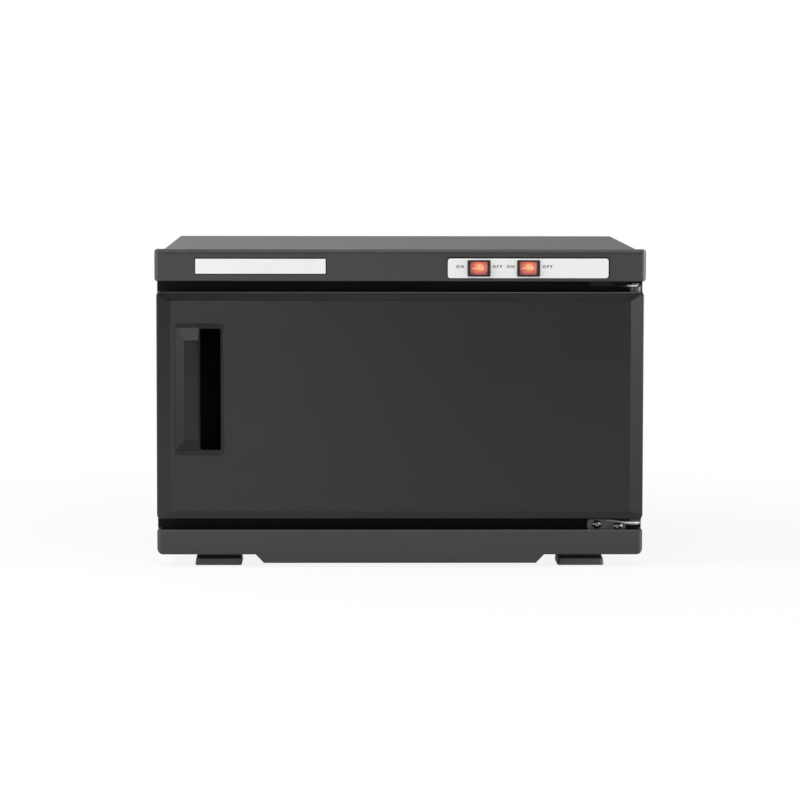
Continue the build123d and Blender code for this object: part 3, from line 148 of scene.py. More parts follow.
def drawn_metal(name, hex_colour, roughness, run, depth):
    """Bare metal with fine streaks along one axis: run is (x, y, z), the streak's length over its width."""
    material, tree, shader, place = new_material(name)
    colour = linear(hex_colour)
    streak, cloud, mottle, spread = 0.35 * MM, 45 * MM, 0.08, 0.07
    stretch = add_node(tree, "ShaderNodeMapping", {"Vector": place, "Scale": [1 / r for r in run]})
    streaks = add_node(tree, "ShaderNodeTexNoise", {
        "Vector": stretch, "Scale": 1 / streak, "Detail": 2.0, "Roughness": 0.7})
    clouds = add_node(tree, "ShaderNodeTexNoise", {"Vector": place, "Scale": 1 / cloud, "Detail": 3.0})
    feed(tree, shader, {
        "Base Color": add_node(tree, "ShaderNodeMix", {
            0: clouds, 6: shaded(colour, 1 - mottle), 7: shaded(colour, 1 + mottle / 2)}, data_type="RGBA"),
        "Roughness": add_node(tree, "ShaderNodeMapRange", (
            streaks, *noise_span, roughness - spread, roughness + spread)),
        "Normal": add_node(tree, "ShaderNodeBump", {"Strength": 0.6, "Distance": depth, "Height": streaks}),
        "Metallic": 1.0})
    return material


def second_finish(material, hex_colour, roughness, share_of):
    """Second colour and roughness where share_of(tree, place, normal) says one."""
    tree = material.node_tree
    shader = tree.nodes["Principled BSDF"]
    coordinates = tree.nodes["Texture Coordinate"].outputs
    place, normal = [add_node(tree, "ShaderNodeSeparateXYZ", (coordinates[name],)).outputs
                     for name in ("Object", "Normal")]
    share = share_of(tree, place, normal)
    first_colour, first_roughness = [shader.inputs[name].links[0].from_socket for name in ("Base Color", "Roughness")]
    feed(tree, shader, {
        "Base Color": add_node(tree, "ShaderNodeMix", {0: share, 6: first_colour, 7: linear(hex_colour)},
                               data_type="RGBA"),
        "Roughness": add_node(tree, "ShaderNodeMix", {0: share, 2: first_roughness, 3: roughness},
                              data_type="FLOAT")})


# ---------------------------------------------------------------- materials


def bare_edge_highlight(top, left, right):
    """Share of a lug's cut edge painted pale: sheared steel, kept to its upper half and from left to right as a
    painted highlight.
    """
    def share(tree, place, normal):
        steepness = add_node(tree, "ShaderNodeMath", (normal[2],), operation="ABSOLUTE")
        # each ramp: what it follows, where it starts and stops, and its levels there
        ahead, upright, upper_half, onward, ended = [add_node(tree, "ShaderNodeMapRange", ramp) for ramp in (
            (place[1], hinge_plate_y - 1.0 * MM, hinge_plate_y - 0.2 * MM, 1.0, 0.0),
            (steepness, 0.3, 0.6, 1.0, 0.0),
            (place[2], top - 1.4 * MM, top - 0.9 * MM, 0.0, 1.0),
            (place[0], left, left + 3.0 * MM, 0.0, 1.0),
            (place[0], right, right + 1.0 * MM, 1.0, 0.0))]
        bare_and_highlit = add_node(tree, "ShaderNodeMath", (ahead, upright), operation="MULTIPLY")
        stretch = add_node(tree, "ShaderNodeMath", (onward, ended), operation="MULTIPLY")
        edge = add_node(tree, "ShaderNodeMath", (upper_half, stretch), operation="MULTIPLY")
        return add_node(tree, "ShaderNodeMath", (bare_and_highlit, edge), operation="MULTIPLY")
    return share


def neck_painted_shade(tree, place, normal):
    """One on a foot's neck, above its pad: painted shade, the rubber coloured black where the tray's shadow falls on
    it.
    """
    return add_node(tree, "ShaderNodeMapRange", (place[2], foot_pad_top, foot_pad_top + 0.3 * MM, 0.0, 1.0))


def lit_lens():
    """Red polycarbonate with a neon lamp behind: palest ahead of the lamp, deep rose at the rim."""
    material, tree, shader, place = new_material("lit_red_polycarbonate")
    axes = add_node(tree, "ShaderNodeSeparateXYZ", (place,)).outputs
    middle = pivots["heat"]
    # both lenses share one glow, which repeats at the switches' pitch
    x = add_node(tree, "ShaderNodeMath", (axes[0], middle.x + switch_pitch / 2, middle.x - switch_pitch / 2),
                 operation="WRAP")
    lamp_x, lamp_z = middle.x + 0.3 * MM, middle.z + 1.3 * MM
    reach_x, reach_z = 8.0 * MM, 6.6 * MM
    across, up = [
        add_node(tree, "ShaderNodeMath", (
            add_node(tree, "ShaderNodeMath", (axis, lamp), operation="SUBTRACT"), 1 / reach), operation="MULTIPLY")
        for axis, lamp, reach in ((x, lamp_x, reach_x), (axes[2], lamp_z, reach_z))]
    offset = add_node(tree, "ShaderNodeCombineXYZ", (across, up))
    distance = add_node(tree, "ShaderNodeVectorMath", (offset,), operation="LENGTH")
    # prismatic ribs on the inside of the lens break the glow into patches of about 2.4 mm
    ribs = add_node(tree, "ShaderNodeTexNoise", {"Vector": place, "Scale": 1 / (2.4 * MM), "Detail": 2.0})
    broken = add_node(tree, "ShaderNodeMath", (ribs, 0.5, -0.25), operation="MULTIPLY_ADD")
    spot = add_node(tree, "ShaderNodeMath", (distance, broken), operation="ADD")
    stops = ((0.0, "#ffe3a6"), (0.3, "#ffb887"), (0.62, "#e97a5c"), (0.95, "#b9605a"), (1.25, "#6e3c40"))
    span = 1.3                                   # distance that the ramp's whole length stands for
    ramp = add_node(tree, "ShaderNodeValToRGB", (
        add_node(tree, "ShaderNodeMath", (spot, 1 / span), operation="MULTIPLY"),))
    colours = ramp.color_ramp.elements
    colours[0].color = linear(stops[0][1])
    colours[1].position, colours[1].color = stops[-1][0] / span, linear(stops[-1][1])
    for position, hex_colour in stops[1:-1]:
        colours.new(position / span).color = linear(hex_colour)
    feed(tree, shader, {
        "Base Color": linear("#4a0f0c"), "Roughness": 0.22, "Emission Color": ramp, "Emission Strength": 0.82,
        "Normal": add_node(tree, "ShaderNodeBump", {"Distance": 0.02 * MM, "Height": ribs})})
    return material


materials = {
    # polyester powder coat on folded steel: an even satin dark grey with a faint orange peel
    "black_powder_coat": grained("satin_powder_coat_on_steel", "#3a3a3a", 0.45, 1.1 * MM, 0.008 * MM, spread=0.006),
    # ABS from a textured mould: matt and nearly black, darker than the plastic as painted shade, so the gaps round
    # the door read as deep
    "black_frame_plastic": grained("moulded_black_abs", "#050505", 0.75, 0.5 * MM, 0.02 * MM, Specular_IOR_Level=0.3),
    # ABS from a fine-sparked mould: dark grey with a soft satin light along its rounded edges
    "grey_fascia_plastic": grained("moulded_dark_grey_abs", "#383838", 0.34, 0.6 * MM, 0.01 * MM),
    # the same ABS from a duller mould: a shade lighter than the fascia, with less gloss
    "grey_tray_plastic": grained("moulded_tray_abs", "#3f3f3f", 0.42, 0.6 * MM, 0.01 * MM),
    # charcoal ABS from a polished mould: dark, with broad soft reflections across the panel
    "charcoal_door_plastic": grained("moulded_charcoal_abs", "#151515", 0.3, 0.6 * MM, 0.01 * MM),
    # a second charcoal ABS, darker than the door's: the grip's bevels stand out by their gloss
    "charcoal_handle_plastic": grained("moulded_handle_abs", "#0e0e0e", 0.35, 0.5 * MM, 0.01 * MM,
                                       Specular_IOR_Level=0.38),
    # screen-printed polycarbonate: smooth, white, with a slight satin
    "white_plate": grained("printed_white_polycarbonate", "#ececec", 0.35, 0.4 * MM, 0.004 * MM, mottle=0.01),
    # glass-filled nylon case of a switch: black with a fine spark texture
    "black_switch_plastic": grained("moulded_black_nylon", "#161616", 0.4, 0.4 * MM, 0.01 * MM),
    # red polycarbonate over a neon lamp: pale glowing middle, deep rose rim
    "red_lens": lit_lens(),
    # blanket of glass fibre: dull yellow, matted and very rough
    "glass_wool": grained("glass_wool_blanket", "#b5a678", 0.95, 1.5 * MM, 0.3 * MM, mottle=0.15),
    # extruded silicone: light grey, matt and a little waxy
    "gasket_rubber": grained("extruded_silicone_rubber", "#8b8b8b", 0.6, 0.6 * MM, 0.01 * MM, Sheen_Weight=0.15),
    # acetal bushes and washers of the hinge: dark grey with the slight shine of grease
    "white_nylon": grained("moulded_grey_acetal", "#38383a", 0.28, 0.5 * MM, 0.01 * MM),
    # phosphated steel bracket: dark grey with a coarse dull grain
    "hinge_steel": grained("phosphated_steel", "#969696", 0.5, 1.3 * MM, 0.06 * MM, mottle=0.35),
    # black zinc plate on screws: smooth and glossy, with small bright lights on a dark head
    "blackened_screws": grained("black_zinc_plated_steel", "#8c8c8c", 0.14, 0.3 * MM, 0.003 * MM, Metallic=1.0),
    # sintered ferrite block: dull charcoal with a gritty, unpolished face
    "magnet_ferrite": grained("sintered_ferrite", "#2b2b2b", 0.7, 0.4 * MM, 0.03 * MM),
    # pressed and fired steatite: cream, dry and slightly rough
    "control_ceramic": grained("pressed_steatite", "#d8d2c0", 0.6, 0.4 * MM, 0.02 * MM),
    # stove-enamelled steel can: blue grey and evenly satin
    "ballast_case": grained("painted_steel_can", "#5c6166", 0.4, 0.8 * MM, 0.01 * MM),
    # extruded silicone sleeve over glass braid: brick red and soft-looking
    "wire_cover": grained("silicone_wire_sleeve", "#a32018", 0.5, 0.4 * MM, 0.01 * MM),
    # compression-moulded rubber: dull grey pad, dusty, below a neck coloured black as painted shade
    "foot_rubber": grained("moulded_foot_rubber", "#7c7c7c", 0.6, 0.6 * MM, 0.02 * MM),
    # cold-rolled aluminium: silver grey with long fine rolling lines
    "liner_metal": drawn_metal("rolled_aluminium_sheet", "#c2c4c6", 0.38, (40, 1, 1), 0.01 * MM),
    # bright zinc plate on pressed steel: light grey with short brushed streaks
    "plated_steel": drawn_metal("zinc_plated_steel", "#b5b5b0", 0.35, (12, 12, 1), 0.01 * MM),
    # chromium plate on drawn wire: bright, smooth, with sharp lights along each wire
    "rack_wire": drawn_metal("chromed_steel_wire", "#d2d3d5", 0.14, (1, 20, 1), 0.004 * MM),
    # pressed aluminium cap: pale and slightly brushed along the tube
    "lamp_cap_metal": drawn_metal("pressed_aluminium_cap", "#c9c9c9", 0.3, (10, 1, 1), 0.006 * MM),
    # drawn quartz tube: clear, with a slight cold tint and the faint waves of drawing
    "lamp_glass": grained("clear_quartz_glass", "#e8ecf4", 0.06, 2.0 * MM, 0.004 * MM, mottle=0.01,
                          Transmission_Weight=0.9, IOR=1.46),
    # aluminium foil bonded over a heating wire: bright, crinkled in one direction
    "heater_foil": drawn_metal("aluminium_heater_foil", "#cacaca", 0.3, (20, 1, 1), 0.02 * MM),
    # nickel plate on stamped brass: pale gold blades
    "contact_brass": drawn_metal("nickel_plated_brass", "#c8bf9c", 0.25, (1, 10, 1), 0.006 * MM),
}
# painted shade: the feet's necks black above their pads
second_finish(materials["foot_rubber"], "#030303", 0.9, neck_painted_shade)
# the lower lug's cut edge painted white: sheared steel, its bright upper half a painted highlight
second_finish(materials["hinge_steel"], "#ffffff", 0.25, bare_edge_highlight(
    lower_lug_top, hinge_pivot_x - 31 * MM, hinge_pivot_x + 4 * MM))
# the upper bracket, the same steel as the lower, is painted black and dull as the shade under the fascia, and its cut
# edge is painted pale only round its nose as a painted highlight
upper_hinge_shade = grained("upper_hinge_painted_shade", "#0a0a0a", 0.6, 0.8 * MM, 0.03 * MM)
second_finish(upper_hinge_shade, "#e6e6e6", 0.3, bare_edge_highlight(
    upper_lug_bottom + lug_thickness, hinge_pivot_x - 8 * MM, hinge_pivot_x + 1 * MM))
# turned steel pins with riveted heads: dull mid grey
rivet_steel = grained("riveted_steel_pin", "#77777a", 0.4, 0.3 * MM, 0.01 * MM, Metallic=0.8)
# inside of the finger pocket: painted shade, black with hardly any gloss, for the dark held in the deep pocket
pocket_painted_shade = grained("finger_pocket_painted_shade", "#020202", 0.9, 0.6 * MM, 0.02 * MM, Specular_IOR_Level=0.08)
# pale cross in a screw's recess on a dark head: partly zinc that the driver has rubbed bare, mostly a painted
# highlight, white and matt so that it reads bright in the dim gap
recess_wear_highlight = grained("recess_wear_and_painted_highlight", "#ffffff", 0.5, 0.2 * MM, 0.01 * MM)
# pad-printed epoxy ink: flat, even and nearly black on the white plate
legend_ink = grained("pad_printed_black_ink", "#0c0c0c", 0.5, 0.15 * MM, 0.003 * MM)
# the same printing in a pale ink, which the lamp behind lifts a little
mark_ink = grained("pad_printed_pale_ink", "#ffd9b8", 0.5, 0.15 * MM, 0.003 * MM,
                   Emission_Color=linear("#ffd9b8"), Emission_Strength=0.2)
# painted shadow: a dead black line round the white of each plate, for the gap that the plate sits in
plate_gap_shade_finish = grained("plate_gap_painted_shade", "#020202", 0.9, 0.3 * MM, 0.02 * MM, Specular_IOR_Level=0.1)

own_finish = {"upper_hinge": upper_hinge_shade, "hinge_pins": rivet_steel, "hinge_washers": materials["white_nylon"]}
for node_name, slot_name in slots.items():
    finishes = nodes[node_name].data.materials
    finishes.clear()
    finishes.append(own_finish.get(node_name, materials[slot_name]))


# ---------------------------------------------------------------- making and placing pieces


def settled(thing):
    """Plain mesh of an object with its modifiers applied."""
    graph = bpy.context.evaluated_depsgraph_get()
    return bpy.data.meshes.new_from_object(thing.evaluated_get(graph), preserve_all_data_layers=True, depsgraph=graph)


def linked(name, data):
    """New object in the scene."""
    thing = bpy.data.objects.new(name, data)
    bpy.context.scene.collection.objects.link(thing)
    return thing


def fitted(name, mesh, body, finish=None, replaced=(), sharp=30):
    """Finished piece at the origin, with its shading, finish, body and the CAD nodes that it stands for."""
    mesh.name = name
    mesh.shade_smooth()
    mesh.set_sharp_from_angle(angle=math.radians(sharp))
    if finish:
        mesh.materials.clear()
        mesh.materials.append(finish)
    piece = linked(name, mesh)
    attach(piece, body)
    for node in replaced:
        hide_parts(node)


def merged(node):
    """CAD node's mesh, its loose triangles joined, for editing."""
    shape = bmesh.new()
    shape.from_mesh(nodes[node].data)
    bmesh.ops.remove_doubles(shape, verts=shape.verts, dist=0.001 * MM)
    return shape


def islands(node):
    """Lowest and highest corner of each separate solid of a CAD node."""
    shape = merged(node)
    waiting = set(shape.verts)
    boxes = []
    while waiting:
        found = [waiting.pop()]
        for vert in found:
            for edge in vert.link_edges:
                other = edge.other_vert(vert)
                if other in waiting:
                    waiting.remove(other)
                    found.append(other)
        boxes.append([[end(vert.co[axis] for vert in found) for axis in range(3)] for end in (min, max)])
    shape.free()
    return [(Vector(low), Vector(high)) for low, high in sorted(boxes)]


def softened_copy(node, width, steepness):
    """Plain mesh of a CAD node, its flat faces made whole and its edges rounded off past a steepness in degrees."""
    shape = merged(node)
    bmesh.ops.dissolve_limit(shape, angle_limit=math.radians(1), verts=shape.verts, edges=shape.edges)
    mesh = bpy.data.meshes.new(node)
    shape.to_mesh(mesh)
    shape.free()
    blank = linked(node + "_blank", mesh)
    bevel = blank.modifiers.new("soft_edges", "BEVEL")
    bevel.width = width
    bevel.segments = 3
    bevel.angle_limit = math.radians(steepness)
    mesh = settled(blank)
    bpy.data.objects.remove(blank)
    return mesh


def mesh_of(name, verts, edges=(), faces=()):
    """Mesh from lists, with its faces turned outwards."""
    mesh = bpy.data.meshes.new(name)
    mesh.from_pydata(verts, edges, faces)
    if faces:
        shape = bmesh.new()
        shape.from_mesh(mesh)
        bmesh.ops.recalc_face_normals(shape, faces=shape.faces)
        shape.to_mesh(mesh)
        shape.free()
    return mesh


def banded(loops):
    """Places and faces of a closed band: loops of places, each joined to the next and the last to the first."""
    count = len(loops[0])
    faces = []
    for order in range(len(loops)):
        near, far = order * count, (order + 1) % len(loops) * count
        faces += [(near + i, near + (i + 1) % count, far + (i + 1) % count, far + i) for i in range(count)]
    return [place for loop in loops for place in loop], (), faces


# ---------------------------------------------------------------- geometry trees


def geometry_tree(name, lengths, counts=(), finishes=("Finish",)):
    """Geometry tree with named inputs for its lengths, counts and finishes. Returns tree, inputs, output node."""
    tree = bpy.data.node_groups.new(name, "GeometryNodeTree")
    tree.interface.new_socket("Geometry", in_out="INPUT", socket_type="NodeSocketGeometry")
    for kind, labels in (("Float", lengths), ("Int", counts), ("Material", finishes)):
        for label in labels:
            tree.interface.new_socket(label, in_out="INPUT", socket_type="NodeSocket" + kind)
    tree.interface.new_socket("Geometry", in_out="OUTPUT", socket_type="NodeSocketGeometry")
    return tree, add_node(tree, "NodeGroupInput").outputs, add_node(tree, "NodeGroupOutput")


def grown(name, start, tree, sizes):
    """Plain mesh that a geometry tree grows on a starting mesh."""
    seed = linked(name, start)
    modifier = seed.modifiers.new("growth", "NODES")
    modifier.node_group = tree
    for item in tree.interface.items_tree:
        if item.in_out == "INPUT" and item.name in sizes:
            modifier[item.identifier] = sizes[item.name]
    mesh = settled(seed)
    bpy.data.objects.remove(seed)
    return mesh


def rounded_ring(tree, width, height, corner):
    """Closed curve on the XY plane: a rectangle with rounded corners."""
    outline = add_node(tree, "GeometryNodeCurvePrimitiveQuadrilateral", {"Width": width, "Height": height})
    return add_node(tree, "GeometryNodeFilletCurve", {"Curve": outline, "Radius": corner, "Count": 8}, mode="POLY")


def wire_round(tree, path, radius, sides):
    """Round wire along a curve, with closed ends."""
    profile = add_node(tree, "GeometryNodeCurvePrimitiveCircle", {"Resolution": sides, "Radius": radius})
    return add_node(tree, "GeometryNodeCurveToMesh", {"Curve": path, "Profile Curve": profile, "Fill Caps": True})


def finished_tree(tree, geometry, output, *finishes):
    """Ends a tree in Realize Instances and a Set Material for each finish, which names the faces it goes on."""
    geometry = add_node(tree, "GeometryNodeRealizeInstances", (geometry,))
    for finish in finishes:
        geometry = add_node(tree, "GeometryNodeSetMaterial", {"Geometry": geometry, **finish})
    feed(tree, output, (geometry,))
    return tree


def placed_heads(tree, points, head, seed):
    """Heads on points, each along its point's facing and turned by its own angle."""
    facing = add_node(tree, "GeometryNodeInputNamedAttribute", {"Name": "facing"}, data_type="FLOAT_VECTOR")
    aimed = add_node(tree, "FunctionNodeAlignRotationToVector", {"Vector": facing}, axis="Z")
    angle = add_node(tree, "FunctionNodeRandomValue", {2: 0.0, 3: math.tau, "Seed": seed}, data_type="FLOAT")
    spin = add_node(tree, "FunctionNodeAxisAngleToRotation", {"Axis": (0, 0, 1), "Angle": angle})
    turned = add_node(tree, "FunctionNodeRotateRotation", {"Rotation": aimed, "Rotate By": spin},
                      rotation_space="LOCAL")
    return add_node(tree, "GeometryNodeInstanceOnPoints", {"Points": points, "Instance": head, "Rotation": turned})


def lifted(tree, geometry, height, **turn):
    """Geometry raised by a height, and turned where a Rotation is given."""
    shift = add_node(tree, "ShaderNodeCombineXYZ", {"Z": height})
    return add_node(tree, "GeometryNodeTransform", {"Geometry": geometry, "Translation": shift, **turn})


def dome(tree, radius, height, sides):
    """Low dome on the XY plane: straight for about half its height, then rounded."""
    blank = add_node(tree, "GeometryNodeMeshCylinder", {
        "Vertices": sides, "Side Segments": 2, "Fill Segments": 6, "Radius": radius, "Depth": height})
    half = add_node(tree, "ShaderNodeMath", (height, 0.5), operation="MULTIPLY")
    axes = add_node(tree, "ShaderNodeSeparateXYZ", (add_node(tree, "GeometryNodeInputPosition"),)).outputs
    squares = [add_node(tree, "ShaderNodeMath", (axis, 2), operation="POWER") for axis in axes[:2]]
    level = add_node(tree, "ShaderNodeMath", squares, operation="ADD")
    # the distance from the axis becomes a share of the radius, then the crown's level there, which a high power
    # keeps full almost to the rim
    for operation, *others in (("SQRT",), ("DIVIDE", radius), ("POWER", 2.6), ("MULTIPLY_ADD", -1.0, 1.0),
                               ("MAXIMUM", 0.0), ("SQRT",), ("MULTIPLY", 0.5), ("ADD", 0.5), ("MULTIPLY", height),
                               ("MINIMUM", axes[2])):
        level = add_node(tree, "ShaderNodeMath", (level, *others), operation=operation)
    return add_node(tree, "GeometryNodeSetPosition", {
        "Geometry": lifted(tree, blank, half),
        "Position": add_node(tree, "ShaderNodeCombineXYZ", (*axes[:2], level))})


def screw_tree():
    """Pan-head screws with a tapered cross recess, one on each point."""
    tree, sizes, output = geometry_tree(
        "cross_head_screws", ("Head Radius", "Head Height", "Shank Radius", "Shank Length"), ("Seed",),
        ("Finish", "Recess Finish"))
    radius, height, shank_length = sizes["Head Radius"], sizes["Head Height"], sizes["Shank Length"]
    head = dome(tree, radius, height, 40)
    share = {name: add_node(tree, "ShaderNodeMath", product, operation="MULTIPLY") for name, product in {
        "wing_length": (radius, 1.4), "wing_width": (radius, 0.24), "wing_depth": (height, 0.9),
        "wing_middle": (height, 0.97), "bit_mouth": (radius, 0.3), "bit_tip": (radius, 0.12),
        "bit_middle": (height, 0.3), "shank_middle": (shank_length, -0.5)}.items()}
    wing = add_node(tree, "GeometryNodeMeshCube", (add_node(tree, "ShaderNodeCombineXYZ", (
        share["wing_length"], share["wing_width"], share["wing_depth"])),))
    bit = add_node(tree, "GeometryNodeMeshCone", {
        "Vertices": 16, "Radius Top": share["bit_mouth"], "Radius Bottom": share["bit_tip"], "Depth": height})
    wings = [lifted(tree, wing, share["wing_middle"], Rotation=(0, 0, math.radians(turn))) for turn in (0, 90)]
    cutter = add_node(tree, "GeometryNodeJoinGeometry", ([*wings, lifted(tree, bit, share["bit_middle"])],))
    # the recess narrows to 0.6 of its width at 0.6 of the head's height
    axes = add_node(tree, "ShaderNodeSeparateXYZ", (add_node(tree, "GeometryNodeInputPosition"),)).outputs
    level = add_node(tree, "ShaderNodeMath", (axes[2], height), operation="DIVIDE")
    taper = add_node(tree, "ShaderNodeMapRange", (level, 0.6, 1.0, 0.6, 1.0))
    narrowed = [add_node(tree, "ShaderNodeMath", (axis, taper), operation="MULTIPLY") for axis in axes[:2]]
    tapered = add_node(tree, "GeometryNodeSetPosition", {
        "Geometry": cutter, "Position": add_node(tree, "ShaderNodeCombineXYZ", (*narrowed, axes[2]))})
    marked = add_node(tree, "GeometryNodeStoreNamedAttribute", {"Geometry": tapered, "Name": "recess", "Value": 1.0},
                      data_type="FLOAT", domain="FACE")
    cut = add_node(tree, "GeometryNodeMeshBoolean", {"Mesh 1": head, "Mesh 2": [marked], "Self Intersection": True},
                   operation="DIFFERENCE", solver="EXACT")
    shank = add_node(tree, "GeometryNodeMeshCylinder", {
        "Vertices": 24, "Radius": sizes["Shank Radius"], "Depth": shank_length})
    screw = add_node(tree, "GeometryNodeJoinGeometry", ([cut, lifted(tree, shank, share["shank_middle"])],))
    placed = placed_heads(tree, sizes["Geometry"], screw, sizes["Seed"])
    recess = add_node(tree, "GeometryNodeInputNamedAttribute", {"Name": "recess"}, data_type="FLOAT")
    bare_and_highlit = add_node(tree, "ShaderNodeMath", (recess, 0.5), operation="GREATER_THAN")
    return finished_tree(tree, placed, output, {"Material": sizes["Finish"]},
                         {"Material": sizes["Recess Finish"], "Selection": bare_and_highlit})


def rivet_tree():
    """Blind rivets, each a low dome with the hole that its mandrel leaves."""
    tree, sizes, output = geometry_tree("blind_rivets", ("Head Radius", "Head Height"), ("Seed",))
    head = dome(tree, sizes["Head Radius"], sizes["Head Height"], 28)
    hole_radius = add_node(tree, "ShaderNodeMath", (sizes["Head Radius"], 0.36), operation="MULTIPLY")
    hole = add_node(tree, "GeometryNodeMeshCylinder", {
        "Vertices": 16, "Radius": hole_radius, "Depth": sizes["Head Height"]})
    cut = add_node(tree, "GeometryNodeMeshBoolean", {
        "Mesh 1": head, "Mesh 2": [lifted(tree, hole, sizes["Head Height"])]}, operation="DIFFERENCE", solver="EXACT")
    placed = placed_heads(tree, sizes["Geometry"], cut, sizes["Seed"])
    return finished_tree(tree, placed, output, {"Material": sizes["Finish"]})


def rack_tree():
    """Wire shelf: a closed frame wire, cross wires welded on it, and feet along the starting mesh's edges."""
    tree, sizes, output = geometry_tree(
        "welded_wire_shelf", ("Half Width", "Front", "Back", "Level", "Corner", "Frame Wire", "Cross Wire", "Sink",
                              "Pitch", "Foot Bend"), ("Cross Wires",))
    front, back, level, pitch = sizes["Front"], sizes["Back"], sizes["Level"], sizes["Pitch"]
    ends = add_node(tree, "ShaderNodeMath", (back, front), operation="ADD")
    middle = add_node(tree, "ShaderNodeMath", (ends, 0.5), operation="MULTIPLY")
    width = add_node(tree, "ShaderNodeMath", (sizes["Half Width"], 2), operation="MULTIPLY")
    depth = add_node(tree, "ShaderNodeMath", (back, front), operation="SUBTRACT")
    ring = add_node(tree, "GeometryNodeTransform", {
        "Geometry": rounded_ring(tree, width, depth, sizes["Corner"]),
        "Translation": add_node(tree, "ShaderNodeCombineXYZ", (0.0, middle, level))})
    feet_path = add_node(tree, "GeometryNodeMeshToCurve", {"Mesh": sizes["Geometry"]})
    feet = add_node(tree, "GeometryNodeFilletCurve", {"Curve": feet_path, "Radius": sizes["Foot Bend"], "Count": 6},
                    mode="POLY")
    gaps = add_node(tree, "ShaderNodeMath", (sizes["Cross Wires"], 1), operation="SUBTRACT")
    span = add_node(tree, "ShaderNodeMath", (gaps, pitch), operation="MULTIPLY")
    first_x = add_node(tree, "ShaderNodeMath", (span, -0.5), operation="MULTIPLY")
    stacked = add_node(tree, "ShaderNodeMath", (sizes["Frame Wire"], sizes["Cross Wire"]), operation="ADD")
    rise = add_node(tree, "ShaderNodeMath", (stacked, sizes["Sink"]), operation="SUBTRACT")
    high = add_node(tree, "ShaderNodeMath", (level, rise), operation="ADD")
    row = add_node(tree, "GeometryNodeMeshLine", {
        "Count": sizes["Cross Wires"], "Start Location": add_node(tree, "ShaderNodeCombineXYZ", (first_x, 0.0, high)),
        "Offset": add_node(tree, "ShaderNodeCombineXYZ", (pitch,))}, mode="OFFSET")
    starts, stops = [add_node(tree, "ShaderNodeCombineXYZ", (0.0, end)) for end in (front, back)]
    run = add_node(tree, "GeometryNodeCurvePrimitiveLine", {"Start": starts, "End": stops})
    runs = add_node(tree, "GeometryNodeInstanceOnPoints", {"Points": row, "Instance": run})
    cross_wires = wire_round(tree, add_node(tree, "GeometryNodeRealizeInstances", (runs,)), sizes["Cross Wire"], 10)
    bead = add_node(tree, "GeometryNodeMeshIcoSphere", {"Subdivisions": 2, "Radius": sizes["Cross Wire"]})
    welds = []
    for end in (starts, stops):
        squat = add_node(tree, "GeometryNodeTransform", {
            "Geometry": bead, "Translation": end, "Scale": (1.35, 1.25, 0.8)})
        welds.append(add_node(tree, "GeometryNodeInstanceOnPoints", {"Points": row, "Instance": squat}))
    frame_wires = [wire_round(tree, path, sizes["Frame Wire"], 16) for path in (ring, feet)]
    whole = add_node(tree, "GeometryNodeJoinGeometry", ([*frame_wires, cross_wires, *welds],))
    return finished_tree(tree, whole, output, {"Material": sizes["Finish"]})


def seal_tree():
    """Door seal: a flat strip with a round bulb between two ribs, all on one rounded ring."""
    tree, sizes, output = geometry_tree("bulb_seal", (
        "Width", "Height", "Corner", "Strip Width", "Strip Thickness", "Bulb Radius", "Rib Radius", "Rib Offset",
        "Seal Height"))
    half_width, half_strip = [add_node(tree, "ShaderNodeMath", (sizes[name], 0.5), operation="MULTIPLY")
                              for name in ("Strip Width", "Strip Thickness")]

    def ring(inset, lift):
        """Rounded ring, drawn in from the strip's middle line and lifted off the lining."""
        drawn_in = add_node(tree, "ShaderNodeMath", (inset, half_width), operation="ADD")
        twice = add_node(tree, "ShaderNodeMath", (drawn_in, 2), operation="MULTIPLY")
        width, height = [add_node(tree, "ShaderNodeMath", (sizes[name], twice), operation="SUBTRACT")
                         for name in ("Width", "Height")]
        corner = add_node(tree, "ShaderNodeMath", (sizes["Corner"], inset), operation="SUBTRACT")
        return lifted(tree, rounded_ring(tree, width, height, corner), lift)

    flat = add_node(tree, "GeometryNodeCurvePrimitiveQuadrilateral", {
        "Width": sizes["Strip Width"], "Height": sizes["Strip Thickness"]})
    base = add_node(tree, "GeometryNodeCurveToMesh", {"Curve": ring(0.0, half_strip), "Profile Curve": flat})
    bulb_lift = add_node(tree, "ShaderNodeMath", (sizes["Seal Height"], sizes["Bulb Radius"]), operation="SUBTRACT")
    bulb = wire_round(tree, ring(0.0, bulb_lift), sizes["Bulb Radius"], 16)
    insets = [add_node(tree, "ShaderNodeMath", (sizes["Rib Offset"], side), operation="MULTIPLY") for side in (-1, 1)]
    ribs = [wire_round(tree, ring(inset, sizes["Strip Thickness"]), sizes["Rib Radius"], 8) for inset in insets]
    whole = add_node(tree, "GeometryNodeJoinGeometry", ([base, bulb, *ribs],))
    return finished_tree(tree, whole, output, {"Material": sizes["Finish"]})


# ---------------------------------------------------------------- screws, rivets, rack and seal


def facing_points(name, places):
    """Points with a facing each, for a tree that puts heads on them; places are pairs of place and facing."""
    mesh = mesh_of(name, [tuple(place) for place, facing in places])
    facings = mesh.attributes.new("facing", "FLOAT_VECTOR", "POINT")
    for item, (place, facing) in zip(facings.data, places):
        item.vector = facing
    return mesh


def screw_seats(node, facing, head_height):
    """Where each screw of a CAD node sits, with the direction that its head looks in."""
    seats = []
    for low, high in islands(node):
        outward = Vector(facing) if facing else Vector((math.copysign(1, low.x + high.x), 0, 0))
        middle, half = (low + high) / 2, (high - low) / 2
        top = Vector([middle[i] + outward[i] * half[i] for i in range(3)])
        seats.append((top - outward * head_height, outward))
    return seats


